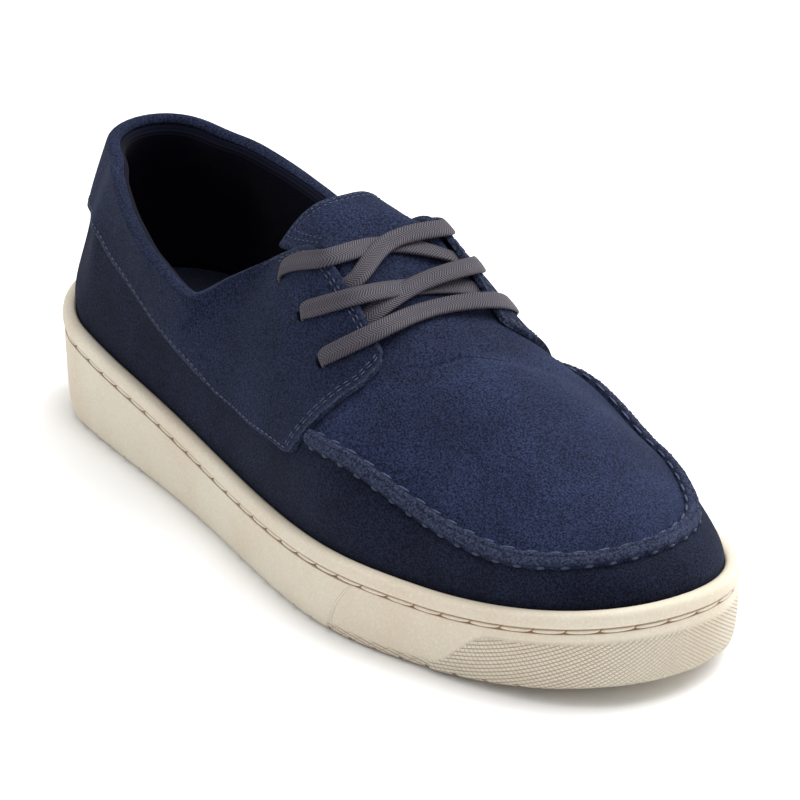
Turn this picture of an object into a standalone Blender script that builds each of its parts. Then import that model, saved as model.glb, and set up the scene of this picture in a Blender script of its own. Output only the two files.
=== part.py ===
"""A low sneaker with a moccasin toe, for the right foot.

A moulded rubber cup carries a hollow suede upper. The flaps with the lace holes are sewn
on the upper and run on as a band round the collar. Millimetres inside the functions, and
metres on the meshes. X runs from the heel (0) to the toe, Y to the inner side, Z up.
"""
import bpy
import bmesh
import math
import numpy as np

MM = 0.001
LENGTH = 300.0
AROUND = 84
GAP = 0.3

# thickness of the walls and layers
UPPER_WALL = 2.0
PANEL_WALL = 1.2
PANEL_CLEARANCE = 1.0
TONGUE_WALL = 3.0
LIP_INSET = 4.35

# the sole seen from above and its height: x, centre line, half width, height of the lip
SOLE_COLUMNS = ("x", "centre", "half", "rim")
SOLE_ROWS = (
    (0, 2.8, 34.2, 39.4),
    (40, 0.5, 38.7, 33.6),
    (90, -4.8, 37.7, 29.0),
    (130, -8.0, 39.0, 26.0),
    (175, -2.9, 51.0, 25.5),
    (215, 0.3, 54.9, 25.7),
    (255, 3.1, 47.3, 25.8),
    (300, 4.7, 44.2, 30.9),
)
HEEL_ROUND = (36.0, 2.15)
TOE_ROUND = (58.0, 2.15)
SPRING_START = 225.0
SPRING_HEIGHT = 7.4

# floor inside the cup and the footbed on it: x, height of the floor, thickness of the footbed
BED_COLUMNS = ("x", "floor", "bed")
BED_ROWS = (
    (0, 28.0, 7.0),
    (60, 25.0, 6.0),
    (140, 15.0, 5.0),
    (210, 12.0, 4.5),
    (260, 13.0, 4.0),
    (300, 19.0, 4.0),
)

# side of the cup from the underside up: share of the height below the groove, inset
WALL_ROWS = (
    (0.00, 2.6),
    (0.06, 1.6),
    (0.45, 0.5),
    (0.90, 0.1),
    (1.00, 0.0),
)
LIP_BAND = 4.4
GROOVE_HEIGHT = 2.0
GROOVE_DEPTH = 1.1
BUMPER_START = 252.0
BUMPER_RISE = 0.7

# shoulder line of the upper, the sewn seam in front: x of the foot, x, centre, half, z
SHOULDER_COLUMNS = ("foot", "x", "centre", "half", "z")
SHOULDER_ROWS = (
    (0, 7.5, 1.2, 31.5, 59.5),
    (18, 23.6, 2.6, 29.6, 59.3),
    (40, 43, 0.5, 33.0, 59.0),
    (62, 62, -1.0, 33.0, 58.0),
    (92, 92, -3.5, 33.0, 50.0),
    (130, 130, -6.0, 34.0, 46.0),
    (165, 164, -3.0, 41.0, 50.5),
    (200, 198, -1.0, 45.8, 51.0),
    (240, 235, 2.8, 41.5, 41.5),
    (275, 266, 1.2, 38.3, 39.2),
    (300, 285, 0.8, 38.0, 40.5),
)
SHOULDER_HEEL = (34.0, 2.1)
SHOULDER_TOE = (48.0, 2.2)

# upper end of each line of the upper: the collar, the throat, then the ridge before it
TOP_COLUMNS = ("foot", "x", "centre", "half", "z")
TOP_ROWS = (
    (0, 17.4, 1.4, 24.4, 90.6),
    (18, 33.8, 0.2, 21.8, 88.6),
    (40, 46, 0.0, 25.4, 86.2),
    (60, 66, -0.4, 32.4, 79.9),
    (78, 85, -1.2, 35.6, 74.5),
    (101, 108.5, -2.9, 34.6, 69.3),
    (113, 121, -1.9, 28.6, 77.4),
    (130, 138, -0.9, 19.5, 89.0),
    (146, 153, -0.3, 18.5, 95.5),
    (172, 172, 0.0, 19.0, 86.0),
    (195, 190, 0.2, 20.0, 72.5),
    (207, 198, 0.3, 15.0, 70.4),
    (224, 203, 0.4, 0.0, 72.0),
    (250, 218, 0.5, 0.0, 68.5),
    (275, 234, 0.7, 0.0, 63.0),
    (300, 250, 0.8, 0.0, 56.5),
)
TOP_HEEL = (33.3, 2.03)
RIDGE_START = 224.0

# lean of the wall in degrees above the inward direction: foot, at the cup, below and
# above the shoulder line, and at the upper end
LEAN_COLUMNS = ("foot", "low", "under", "over", "end")
LEAN_ROWS = (
    (0, 92, 81, 84, 64),
    (18, 104, 75, 73, 71),
    (40, 93, 83, 83, 74),
    (92, 94, 93, 100, 98),
    (130, 92, 80, 80, 58),
    (165, 93, 66, 62, 38),
    (200, 95, 58, 50, 22),
    (240, 98, 36, 50, 6),
    (275, 98, 24, 42, 16),
    (300, 98, 20, 29, 22),
)

# raised seam of the moccasin toe
SEAM_HEIGHT = 2.2
SEAM_HALF_WIDTH = 2.4
SEAM_START = (184.0, 200.0)
SEAM_LEVEL = 0.5

# lower edge of the collar bands and flaps, as a share of the way up the upper
BAND_COLUMNS = ("foot", "level")
BAND_ROWS = (
    (0, 0.585),
    (22, 0.635),
    (42, 0.655),
    (60, 0.61),
    (85, 0.575),
    (105, 0.52),
    (122, 0.49),
    (141, 0.44),
    (160, 0.39),
    (184, 0.39),
)
# front edge of the flaps
FLAP_COLUMNS = ("level", "foot")
FLAP_ROWS = (
    (0.39, 183.5),
    (0.53, 186.5),
    (0.73, 192.5),
    (0.85, 196.0),
    (0.93, 196.0),
    (0.98, 192.0),
)
PANEL_TOP = 0.985
BAND_SEAM = 38.0
BAND_SEAM_GAP = 0.5

# tongue by its x: centre line, half width, height of its middle, drop of its edges
TONGUE_COLUMNS = ("x", "centre", "half", "z", "drop")
TONGUE_ROWS = (
    (127, -1.2, 18.6, 106.0, 16.0),
    (140, -0.9, 17.1, 102.3, 13.0),
    (147, -0.5, 19.2, 100.2, 14.0),
    (152, -0.4, 21.0, 98.0, 12.0),
    (158, -0.3, 22.0, 94.0, 9.6),
    (165, -0.1, 22.0, 89.6, 7.0),
    (172, 0.0, 22.0, 85.3, 5.8),
    (180, 0.1, 22.0, 80.6, 6.0),
    (188, 0.2, 18.8, 76.9, 7.0),
    (191, 0.2, 18.2, 75.6, 5.8),
    (195, 0.2, 18.2, 74.2, 6.0),
    (202, 0.3, 18.2, 72.2, 9.0),
)
TONGUE_FLATNESS = 2.9
# its rounded ends: x of the middle, how much further back the corners reach
TONGUE_TIP = (137.0, 9.5)
TONGUE_ROOT = (201.4, 13.4)

# lace holes: foot and level on the upper's own lines, from the toe to the ankle
HOLE_ROWS = (
    (177.5, 0.76),
    (160, 0.81),
    (139, 0.88),
)
LACE_WIDTH = 6.0
LACE_THICKNESS = 1.6
LACE_CLEARANCE = 1.0
RUN_START_IN = 4.4
RUN_START_UP = 2.0
RUN_EDGE_LEVEL = 0.98
# bar across the front: foot where it passes the flaps' edges, x over the tongue, height
BAR = (185.5, 182.5, 2.2)
# crossings: foot where a run comes out, foot of the edge it crosses, x of the crossing
CROSSINGS = ((179.5, 173.0, 174.5), (166.5, 154.5, 160.0))
UNDER_HEIGHT = 1.9
OVER_HEIGHT = 2.4

# channels across the underside: first x, step, number, width and depth
HEEL_CHANNELS = (18.0, 10.0, 7)
FOREFOOT_CHANNELS = (150.0, 9.5, 14)
CHANNEL_WIDTH = 2.4
CHANNEL_DEPTH = 1.8

# colour, roughness
CREAM_RUBBER = ("cream_rubber", (0.78, 0.69, 0.55), 0.55)
NAVY_SUEDE = ("navy_suede", (0.018, 0.030, 0.075), 0.95)
NAVY_SUEDE_PANEL = ("navy_suede_panel", (0.020, 0.034, 0.085), 0.95)
NAVY_LINING = ("navy_lining", (0.012, 0.018, 0.060), 0.85)
GREY_LACE = ("waxed_lace", (0.11, 0.10, 0.14), 0.6)


def natural_spline(xs, ys):
    """Smooth curve through a few points, straight at both ends."""
    xs = np.array(xs, float)
    ys = np.array(ys, float)
    step = np.diff(xs)
    count = len(xs)
    matrix = np.eye(count)
    right = np.zeros(count)
    for i in range(1, count - 1):
        matrix[i, i - 1:i + 2] = step[i - 1], 2 * (step[i - 1] + step[i]), step[i]
        right[i] = 6 * ((ys[i + 1] - ys[i]) / step[i] - (ys[i] - ys[i - 1]) / step[i - 1])
    bend = np.linalg.solve(matrix, right)

    def value(x):
        i = int(np.clip(np.searchsorted(xs, x) - 1, 0, count - 2))
        a = x - xs[i]
        b = xs[i + 1] - x
        h = step[i]
        cubic = (bend[i] * b ** 3 + bend[i + 1] * a ** 3) / (6 * h)
        return cubic + (ys[i] / h - bend[i] * h / 6) * b + (ys[i + 1] / h - bend[i + 1] * h / 6) * a
    return value


def calm_spline(xs, ys):
    """Curve through points that never swings past them."""
    xs = np.array(xs, float)
    ys = np.array(ys, float)
    step = np.diff(xs)
    slope = np.diff(ys) / step
    tangent = np.zeros(len(xs))
    tangent[0] = slope[0]
    tangent[-1] = slope[-1]
    for i in range(1, len(xs) - 1):
        if slope[i - 1] * slope[i] > 0:
            w1 = 2 * step[i] + step[i - 1]
            w2 = step[i] + 2 * step[i - 1]
            tangent[i] = (w1 + w2) / (w1 / slope[i - 1] + w2 / slope[i])

    def value(x):
        x = min(max(x, xs[0]), xs[-1])
        i = int(np.clip(np.searchsorted(xs, x) - 1, 0, len(xs) - 2))
        h = step[i]
        t = (x - xs[i]) / h
        low = (1 + 2 * t) * (1 - t) ** 2 * ys[i] + t * (1 - t) ** 2 * h * tangent[i]
        return low + t * t * (3 - 2 * t) * ys[i + 1] + t * t * (t - 1) * h * tangent[i + 1]
    return value


def curves(columns, rows, kind):
    """One curve for each named column of a table, over its first column."""
    xs = [row[0] for row in rows]
    return {name: kind(xs, [row[i] for row in rows])
            for i, name in enumerate(columns) if i > 0}


SOLE = curves(SOLE_COLUMNS, SOLE_ROWS, natural_spline)
BED = curves(BED_COLUMNS, BED_ROWS, calm_spline)
SHOULDER = curves(SHOULDER_COLUMNS, SHOULDER_ROWS, calm_spline)
TOP = curves(TOP_COLUMNS, TOP_ROWS, calm_spline)
LEAN = curves(LEAN_COLUMNS, LEAN_ROWS, calm_spline)
BAND = curves(BAND_COLUMNS, BAND_ROWS, calm_spline)
FLAP = curves(FLAP_COLUMNS, FLAP_ROWS, calm_spline)
TONGUE = curves(TONGUE_COLUMNS, TONGUE_ROWS, calm_spline)


def smooth_step(x, low, high):
    t = min(max((x - low) / (high - low), 0.0), 1.0)
    return t * t * (3 - 2 * t)


def rounding(distance, reach, power):
    """Share of the half width that is left near a round end."""
    if distance >= reach:
        return 1.0
    share = 1 - (1 - max(distance, 0.0) / reach) ** power
    return max(share, 0.0) ** (1 / power)


def foot_of(turn):
    """Distance from the heel of a place on the way round, 0 heel, 0.5 toe."""
    return LENGTH * 0.5 * (1 - math.cos(2 * math.pi * turn))


def turn_of(foot, side):
    """Way round at a distance from the heel, side -1 outer, 1 inner."""
    half = math.acos(1 - 2 * foot / LENGTH) / (2 * math.pi)
    return half if side < 0 else 1 - half


def side_of(turn):
    return -1.0 if turn % 1.0 <= 0.5 else 1.0


def sole_edge(turn):
    x = foot_of(turn)
    share = rounding(x, *HEEL_ROUND) * rounding(LENGTH - x, *TOE_ROUND)
    return np.array([x, SOLE["centre"](x) + side_of(turn) * SOLE["half"](x) * share])


def inset_edge(turn, inset):
    """Point of the sole's outline moved inwards, square to the outline."""
    small = 0.0005
    along = sole_edge(turn + small) - sole_edge(turn - small)
    along /= np.linalg.norm(along)
    return sole_edge(turn) + inset * np.array([-along[1], along[0]])


def spring(x):
    return SPRING_HEIGHT * max((x - SPRING_START) / (LENGTH - SPRING_START), 0.0) ** 2


def level_point(turn, inset, z):
    x, y = inset_edge(turn, inset)
    return np.array([x, y, z])


def shoulder_point(turn):
    foot = foot_of(turn)
    x = SHOULDER["x"](foot)
    share = rounding(x - SHOULDER_ROWS[0][1], *SHOULDER_HEEL)
    share *= rounding(SHOULDER_ROWS[-1][1] - x, *SHOULDER_TOE)
    y = SHOULDER["centre"](foot) + side_of(turn) * SHOULDER["half"](foot) * share
    return np.array([x, y, SHOULDER["z"](foot)])


def top_point(turn):
    foot = foot_of(turn)
    x = TOP["x"](foot)
    share = rounding(x - TOP_ROWS[0][1], *TOP_HEEL)
    half = TOP["half"](foot) if foot < RIDGE_START else 0.0
    return np.array([x, TOP["centre"](foot) + side_of(turn) * half * share, TOP["z"](foot)])


def plan_direction(a, b):
    d = np.array([b[0] - a[0], b[1] - a[1], 0.0])
    return d / max(np.linalg.norm(d), 1e-9)


def inward(turn):
    small = 0.0005
    along = sole_edge(turn + small) - sole_edge(turn - small)
    along /= np.linalg.norm(along)
    return np.array([-along[1], along[0], 0.0])


def bent_line(a, b, start_way, end_way, t):
    """Cubic from a to b that leaves and arrives in the given directions."""
    reach = np.linalg.norm(b - a)
    h00 = 2 * t ** 3 - 3 * t ** 2 + 1
    h10 = t ** 3 - 2 * t ** 2 + t
    h01 = -2 * t ** 3 + 3 * t ** 2
    h11 = t ** 3 - t ** 2
    return h00 * a + h10 * reach * start_way + h01 * b + h11 * reach * end_way


def way(flat, degrees):
    angle = math.radians(degrees)
    return flat * math.cos(angle) + np.array([0.0, 0.0, math.sin(angle)])


def upper_point(turn, level):
    """Outer face of the upper: level 0 at the cup, 0.5 on the seam, 1 at the free edge."""
    foot = foot_of(turn)
    low = level_point(turn, LIP_INSET + GAP, SOLE["rim"](foot) - 0.5)
    mid = shoulder_point(turn)
    top = top_point(turn)
    across = inward(turn)
    inner = plan_direction(mid, top)
    blend = smooth_step(foot, 150.0, 210.0)
    toward = across * (1 - blend) + inner * blend
    toward /= np.linalg.norm(toward)
    if level <= SEAM_LEVEL:
        return bent_line(low, mid, way(across, LEAN["low"](foot)),
                         way(toward, LEAN["under"](foot)), level / SEAM_LEVEL)
    return bent_line(mid, top, way(toward, LEAN["over"](foot)),
                     way(inner, LEAN["end"](foot)), (level - SEAM_LEVEL) / (1 - SEAM_LEVEL))


def upper_normal(turn, level):
    small = 0.002
    level = min(max(level, small), 0.97)
    along = upper_point(turn + small, level) - upper_point(turn - small, level)
    up = upper_point(turn, level + small) - upper_point(turn, level - small)
    normal = np.cross(along, up)
    return normal / max(np.linalg.norm(normal), 1e-9)


def over_upper(turn, level, height):
    return upper_point(turn, level) + upper_normal(turn, level) * height


def level_reach(turn, level):
    """Millimetres of wall for one unit of level."""
    small = 0.01
    return np.linalg.norm(upper_point(turn, level + small) - upper_point(turn, level)) / small


def sole_middle():
    ys = [sole_edge(i / AROUND)[1] for i in range(AROUND)]
    return 0.5 * (min(ys) + max(ys))


ORIGIN = np.array([LENGTH / 2, sole_middle(), 0.0])


def material(finish):
    name, colour, rough = finish
    made = bpy.data.materials.get(name)
    if made is None:
        made = bpy.data.materials.new(name)
        made.use_nodes = True
        shader = made.node_tree.nodes["Principled BSDF"]
        shader.inputs["Base Color"].default_value = (*colour, 1.0)
        shader.inputs["Roughness"].default_value = rough
        made.diffuse_color = (*colour, 1.0)
    return made


def add_object(name, bm, finish, group):
    mesh = bpy.data.meshes.new(name)
    bm.to_mesh(mesh)
    bm.free()
    mesh.materials.append(material(finish))
    mesh.shade_smooth()
    mesh.set_sharp_from_angle(angle=math.radians(40))
    made = bpy.data.objects.new(name, mesh)
    group.objects.link(made)
    return made


def add_ring(bm, points):
    return [bm.verts.new((point - ORIGIN) * MM) for point in points]


def bridge(bm, low, high, closed=True):
    """Band of faces between two rings that run the same way round."""
    count = len(low)
    for i in range(count if closed else count - 1):
        j = (i + 1) % count
        bm.faces.new((low[i], low[j], high[j], high[i]))


def ladder(bm, ring, facing_up):
    """Flat cap across the shoe, from each outer point to the inner one beside it."""
    count = len(ring)
    half = count // 2
    faces = [(ring[0], ring[1], ring[count - 1])]
    for i in range(1, half - 1):
        faces.append((ring[i], ring[i + 1], ring[count - i - 1], ring[count - i]))
    faces.append((ring[half - 1], ring[half], ring[half + 1]))
    for face in faces:
        bm.faces.new(face if facing_up else tuple(reversed(face)))


TURNS = [i / AROUND for i in range(AROUND)]


def cup_wall_inset(turn, share, inset):
    """Inset of the cup's side below the groove, less at the bumper that wraps the toe."""
    on = smooth_step(foot_of(turn), BUMPER_START - 3, BUMPER_START + 3)
    raised = on * smooth_step(share, 0.1, 0.3) * (1 - smooth_step(share, 0.86, 0.94))
    return inset + BUMPER_RISE * (1 - raised)


def make_cupsole(group, cutters):
    bm = bmesh.new()
    rings = []
    for share, inset in WALL_ROWS:
        ring = []
        for turn in TURNS:
            foot = foot_of(turn)
            base = spring(foot)
            top = SOLE["rim"](foot) - LIP_BAND - GROOVE_HEIGHT
            ring.append(level_point(turn, cup_wall_inset(turn, share, inset),
                                    base + share * (top - base)))
        rings.append(ring)
    lip = ((LIP_BAND + GROOVE_HEIGHT - 0.4, GROOVE_DEPTH + 0.3), (LIP_BAND + 0.4, GROOVE_DEPTH + 0.3),
           (LIP_BAND, 0.0), (1.3, 0.0), (0.35, 0.5), (0.0, 1.5), (0.0, LIP_INSET - 1.0),
           (0.7, LIP_INSET))
    for drop, inset in lip:
        rings.append([level_point(turn, inset, SOLE["rim"](foot_of(turn)) - drop) for turn in TURNS])
    rings.append([level_point(turn, LIP_INSET, BED["floor"](foot_of(turn))) for turn in TURNS])
    made = [add_ring(bm, ring) for ring in rings]
    for low, high in zip(made, made[1:]):
        bridge(bm, low, high)
    ladder(bm, made[0], False)
    ladder(bm, made[-1], True)
    bm.normal_update()
    cup = add_object("cupsole", bm, CREAM_RUBBER, group)
    cut_channels(cup, cutters)
    return cup


def cut_channels(cup, cutters):
    """Straight channels across the heel and the forefoot, open at the sole's edge."""
    for first, step, count in (HEEL_CHANNELS, FOREFOOT_CHANNELS):
        for i in range(count):
            x = first + i * step
            z = spring(x)
            bpy.ops.mesh.primitive_cube_add(size=1.0)
            block = bpy.context.object
            block.name = "channel_cutter"
            for holder in list(block.users_collection):
                holder.objects.unlink(block)
            cutters.objects.link(block)
            block.location = [(x - ORIGIN[0]) * MM, 0.0, (z - 2.0 + CHANNEL_DEPTH / 2) * MM]
            block.scale = (CHANNEL_WIDTH * MM, 0.16, (4.0 + CHANNEL_DEPTH) * MM)
            block.hide_render = True
            block.display_type = "WIRE"
            cut = cup.modifiers.new("channel", "BOOLEAN")
            cut.operation = "DIFFERENCE"
            cut.object = block


def make_insole(group):
    bm = bmesh.new()
    inset = LIP_INSET + GAP + UPPER_WALL + 0.4
    rings = []
    for lift, extra in ((0.0, 0.3), (0.25, 0.0), (0.8, 0.0), (1.0, 0.8)):
        ring = []
        for turn in TURNS:
            foot = foot_of(turn)
            z = BED["floor"](foot) + GAP + lift * BED["bed"](foot)
            ring.append(level_point(turn, inset + extra, z))
        rings.append(add_ring(bm, ring))
    for low, high in zip(rings, rings[1:]):
        bridge(bm, low, high)
    ladder(bm, rings[0], False)
    ladder(bm, rings[-1], True)
    return add_object("insole", bm, NAVY_LINING, group)


def seam_height(turn):
    return SEAM_HEIGHT * smooth_step(foot_of(turn), *SEAM_START)


def upper_rings():
    """Rings of the outer face, from the bottom of the cup to the free edge."""
    rings = [[level_point(t, LIP_INSET + GAP, BED["floor"](foot_of(t)) + GAP) for t in TURNS]]
    for share in (0.0, 0.12, 0.34, 0.62):
        rings.append([upper_point(t, SEAM_LEVEL * share) for t in TURNS])
    for offset, height in ((-1.0, 0.0), (-0.45, 0.9), (0.45, 0.9), (1.0, 0.0)):
        ring = []
        for t in TURNS:
            level = SEAM_LEVEL + offset * SEAM_HALF_WIDTH / level_reach(t, SEAM_LEVEL)
            ring.append(over_upper(t, level, height * seam_height(t)))
        rings.append(ring)
    for share in (0.2, 0.4, 0.6, 0.8, 0.93, 1.0):
        rings.append([upper_point(t, SEAM_LEVEL + (1 - SEAM_LEVEL) * share) for t in TURNS])
    return rings


def make_upper(group):
    bm = bmesh.new()
    made = [add_ring(bm, ring) for ring in upper_rings()]
    for low, high in zip(made, made[1:]):
        bridge(bm, low, high)
    bmesh.ops.remove_doubles(bm, verts=bm.verts, dist=0.00005)
    bm.normal_update()
    upper = add_object("upper", bm, NAVY_SUEDE, group)
    wall = upper.modifiers.new("wall", "SOLIDIFY")
    wall.thickness = UPPER_WALL * MM
    wall.offset = -1.0
    wall.use_even_offset = False
    return upper


def patch(name, columns, rows, place, finish, group):
    """Closed plate over the upper: place(a, b, height) gives its points."""
    bm = bmesh.new()
    inner = [[None] * (rows + 1) for _ in range(columns + 1)]
    outer = [[None] * (rows + 1) for _ in range(columns + 1)]
    for i in range(columns + 1):
        for j in range(rows + 1):
            a = i / columns
            b = j / rows
            low = (place(a, b, PANEL_CLEARANCE) - ORIGIN) * MM
            high = (place(a, b, PANEL_CLEARANCE + PANEL_WALL) - ORIGIN) * MM
            inner[i][j] = bm.verts.new(low)
            outer[i][j] = bm.verts.new(high)
    for i in range(columns):
        for j in range(rows):
            bm.faces.new((outer[i][j], outer[i + 1][j], outer[i + 1][j + 1], outer[i][j + 1]))
            bm.faces.new((inner[i][j], inner[i][j + 1], inner[i + 1][j + 1], inner[i + 1][j]))
    for i in range(columns):
        bm.faces.new((inner[i][0], inner[i + 1][0], outer[i + 1][0], outer[i][0]))
        bm.faces.new((outer[i][rows], outer[i + 1][rows], inner[i + 1][rows], inner[i][rows]))
    for j in range(rows):
        bm.faces.new((outer[0][j], outer[0][j + 1], inner[0][j + 1], inner[0][j]))
        bm.faces.new((inner[columns][j], inner[columns][j + 1],
                      outer[columns][j + 1], outer[columns][j]))
    bmesh.ops.recalc_face_normals(bm, faces=bm.faces)
    return add_object(name, bm, finish, group)


def panel_place(side, start_turn):
    """Points of a side panel, from its back end to the flap's front edge."""
    def place(a, b, height):
        edge_level = BAND_ROWS[-1][1] + (PANEL_TOP - BAND_ROWS[-1][1]) * b
        front = turn_of(FLAP["foot"](edge_level), side)
        end = front if side < 0 else front - 1.0
        turn = start_turn + (end - start_turn) * a
        low = BAND["level"](foot_of(turn))
        level = low + (PANEL_TOP - low) * b
        return over_upper(turn, level, height)
    return place


def make_panels(group):
    seam = turn_of(BAND_SEAM, 1) - 1.0
    other = turn_of(BAND_SEAM + BAND_SEAM_GAP, 1) - 1.0
    outer_side = panel_place(-1, seam)
    inner_side = panel_place(1, other)
    return [patch("side_panel_lateral", 30, 7, outer_side, NAVY_SUEDE_PANEL, group),
            patch("side_panel_medial", 24, 7, inner_side, NAVY_SUEDE_PANEL, group)]


def round_end(end, q):
    """X of a rounded end of the tongue, q across it from -1 to 1."""
    middle, back = end
    return middle - back * (1 - math.sqrt(max(1 - q * q, 0.0)))


def tongue_point(s, q):
    """Upper face of the tongue: s from its top edge to its root, q across."""
    x = round_end(TONGUE_TIP, q)
    x += s * (round_end(TONGUE_ROOT, q) - x)
    y = TONGUE["centre"](x) + q * TONGUE["half"](x)
    return np.array([x, y, TONGUE["z"](x) - TONGUE["drop"](x) * abs(q) ** TONGUE_FLATNESS])


def make_tongue(group):
    bm = bmesh.new()
    columns = 14
    rows = 10
    grid = []
    for i in range(columns + 1):
        s = i / columns
        across = [math.sin(math.pi * (j / rows - 0.5)) for j in range(rows + 1)]
        grid.append([bm.verts.new((tongue_point(s, q) - ORIGIN) * MM) for q in across])
    for i in range(columns):
        for j in range(rows):
            bm.faces.new((grid[i][j], grid[i + 1][j], grid[i + 1][j + 1], grid[i][j + 1]))
    bm.normal_update()
    tongue = add_object("tongue", bm, NAVY_SUEDE, group)
    wall = tongue.modifiers.new("wall", "SOLIDIFY")
    wall.thickness = TONGUE_WALL * MM
    wall.offset = -1.0
    return tongue


def above(turn, level, height):
    """Point over the upper with the direction that faces away from it."""
    return over_upper(turn, level, height), upper_normal(turn, level)


def hole_point(index, side, height):
    foot, level = HOLE_ROWS[index]
    return above(turn_of(foot, side), level, height)


def edge_point(foot, side, height):
    """Point above the free edge of a flap."""
    return above(turn_of(foot, side), RUN_EDGE_LEVEL, height)


def middle_point(x, height):
    slope = (TONGUE["z"](x + 1) - TONGUE["z"](x - 1)) / 2
    normal = np.array([-slope, 0.0, 1.0])
    normal /= np.linalg.norm(normal)
    return np.array([x, TONGUE["centre"](x), TONGUE["z"](x)]) + normal * height, normal


def route(points):
    """Smooth curve through a few points of a lace, for a share 0 to 1."""
    points = np.array(points)
    gone = np.concatenate(([0.0], np.cumsum(np.linalg.norm(np.diff(points, axis=0), axis=1))))
    parts = [natural_spline(gone, points[:, k]) for k in range(3)]
    return lambda t: np.array([part(t * gone[-1]) for part in parts]), gone / gone[-1]


def strap(places, steps=14):
    """Flat lace run along a route of points and the directions it faces, as a mesh."""
    bm = bmesh.new()
    place, shares = route([point for point, _ in places])
    normals = np.array([normal for _, normal in places])
    sections = []
    for i in range(steps + 1):
        t = i / steps
        centre = place(t)
        along = place(min(t + 0.01, 1.0)) - place(max(t - 0.01, 0.0))
        along /= np.linalg.norm(along)
        normal = np.array([np.interp(t, shares, normals[:, k]) for k in range(3)])
        across = np.cross(normal, along)
        across /= np.linalg.norm(across)
        out = np.cross(along, across)
        ring = []
        for sa, so in ((-1, 0), (-0.8, 1), (0.8, 1), (1, 0), (0.8, -1), (-0.8, -1)):
            ring.append(centre + across * sa * LACE_WIDTH / 2 + out * so * LACE_THICKNESS / 2)
        sections.append(add_ring(bm, ring))
    for low, high in zip(sections, sections[1:]):
        bridge(bm, low, high)
    bm.faces.new(sections[0])
    bm.faces.new(list(reversed(sections[-1])))
    bmesh.ops.recalc_face_normals(bm, faces=bm.faces)
    return bm


LACE_HEIGHT = PANEL_CLEARANCE + PANEL_WALL + LACE_CLEARANCE + LACE_THICKNESS / 2


def make_bar(group):
    edge, middle, height = BAR
    places = [hole_point(0, -1, LACE_HEIGHT), edge_point(edge, -1, LACE_HEIGHT),
              middle_point(middle, height),
              edge_point(edge, 1, LACE_HEIGHT), hole_point(0, 1, LACE_HEIGHT)]
    return add_object("lace_bar", strap(places), GREY_LACE, group)


def start_point(foot, side):
    """Place in the throat where a crossing run comes out from under the flap."""
    point, normal = above(turn_of(foot, side), 1.0, RUN_START_UP)
    return point + np.array([0.0, -side * RUN_START_IN, 0.0]), normal


def crossing_run(low_index, side, height):
    """Route from the throat on one side to the next hole on the other side."""
    start, edge, middle = CROSSINGS[low_index]
    return [start_point(start, side), middle_point(middle, height),
            edge_point(edge, -side, LACE_HEIGHT),
            hole_point(low_index + 1, -side, LACE_HEIGHT)]


def make_crossing(name, low_index, group, cutters):
    """Two runs from one pair of holes to the next, joined where they cross."""
    under = strap(crossing_run(low_index, 1, UNDER_HEIGHT))
    over = strap(crossing_run(low_index, -1, OVER_HEIGHT))
    crossing = add_object(name, under, GREY_LACE, group)
    guide = add_object(name + "_upper_run", over, GREY_LACE, cutters)
    guide.hide_render = True
    guide.display_type = "WIRE"
    join = crossing.modifiers.new("join", "BOOLEAN")
    join.operation = "UNION"
    join.object = guide
    return crossing


def main():
    for old in list(bpy.data.objects):
        bpy.data.objects.remove(old)
    group = bpy.data.collections.new("sneaker")
    cutters = bpy.data.collections.new("cutters")
    bpy.context.scene.collection.children.link(group)
    bpy.context.scene.collection.children.link(cutters)
    make_cupsole(group, cutters)
    make_insole(group)
    make_upper(group)
    make_panels(group)
    make_tongue(group)
    make_bar(group)
    make_crossing("lace_cross_lower", 0, group, cutters)
    make_crossing("lace_cross_upper", 1, group, cutters)


if __name__ == "__main__":
    main()
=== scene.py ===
import math

import bmesh
import bpy
import numpy as np
from mathutils import Matrix, Vector


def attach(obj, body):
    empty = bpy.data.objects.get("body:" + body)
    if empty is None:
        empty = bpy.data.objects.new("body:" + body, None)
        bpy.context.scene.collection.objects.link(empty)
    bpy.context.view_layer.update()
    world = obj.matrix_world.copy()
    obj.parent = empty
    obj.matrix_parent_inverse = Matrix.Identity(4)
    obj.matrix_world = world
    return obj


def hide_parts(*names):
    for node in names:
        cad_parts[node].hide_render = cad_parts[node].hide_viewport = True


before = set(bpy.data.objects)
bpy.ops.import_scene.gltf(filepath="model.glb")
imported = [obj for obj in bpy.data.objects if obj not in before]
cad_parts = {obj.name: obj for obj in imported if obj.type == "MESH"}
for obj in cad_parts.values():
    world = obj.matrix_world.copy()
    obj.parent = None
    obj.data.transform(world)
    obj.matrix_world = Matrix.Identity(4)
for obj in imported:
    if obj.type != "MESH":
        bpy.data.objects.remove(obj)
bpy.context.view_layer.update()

mm = 0.001
gap = 0.3                          # between pieces, millimetres
dice = np.random.default_rng(11)

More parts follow.
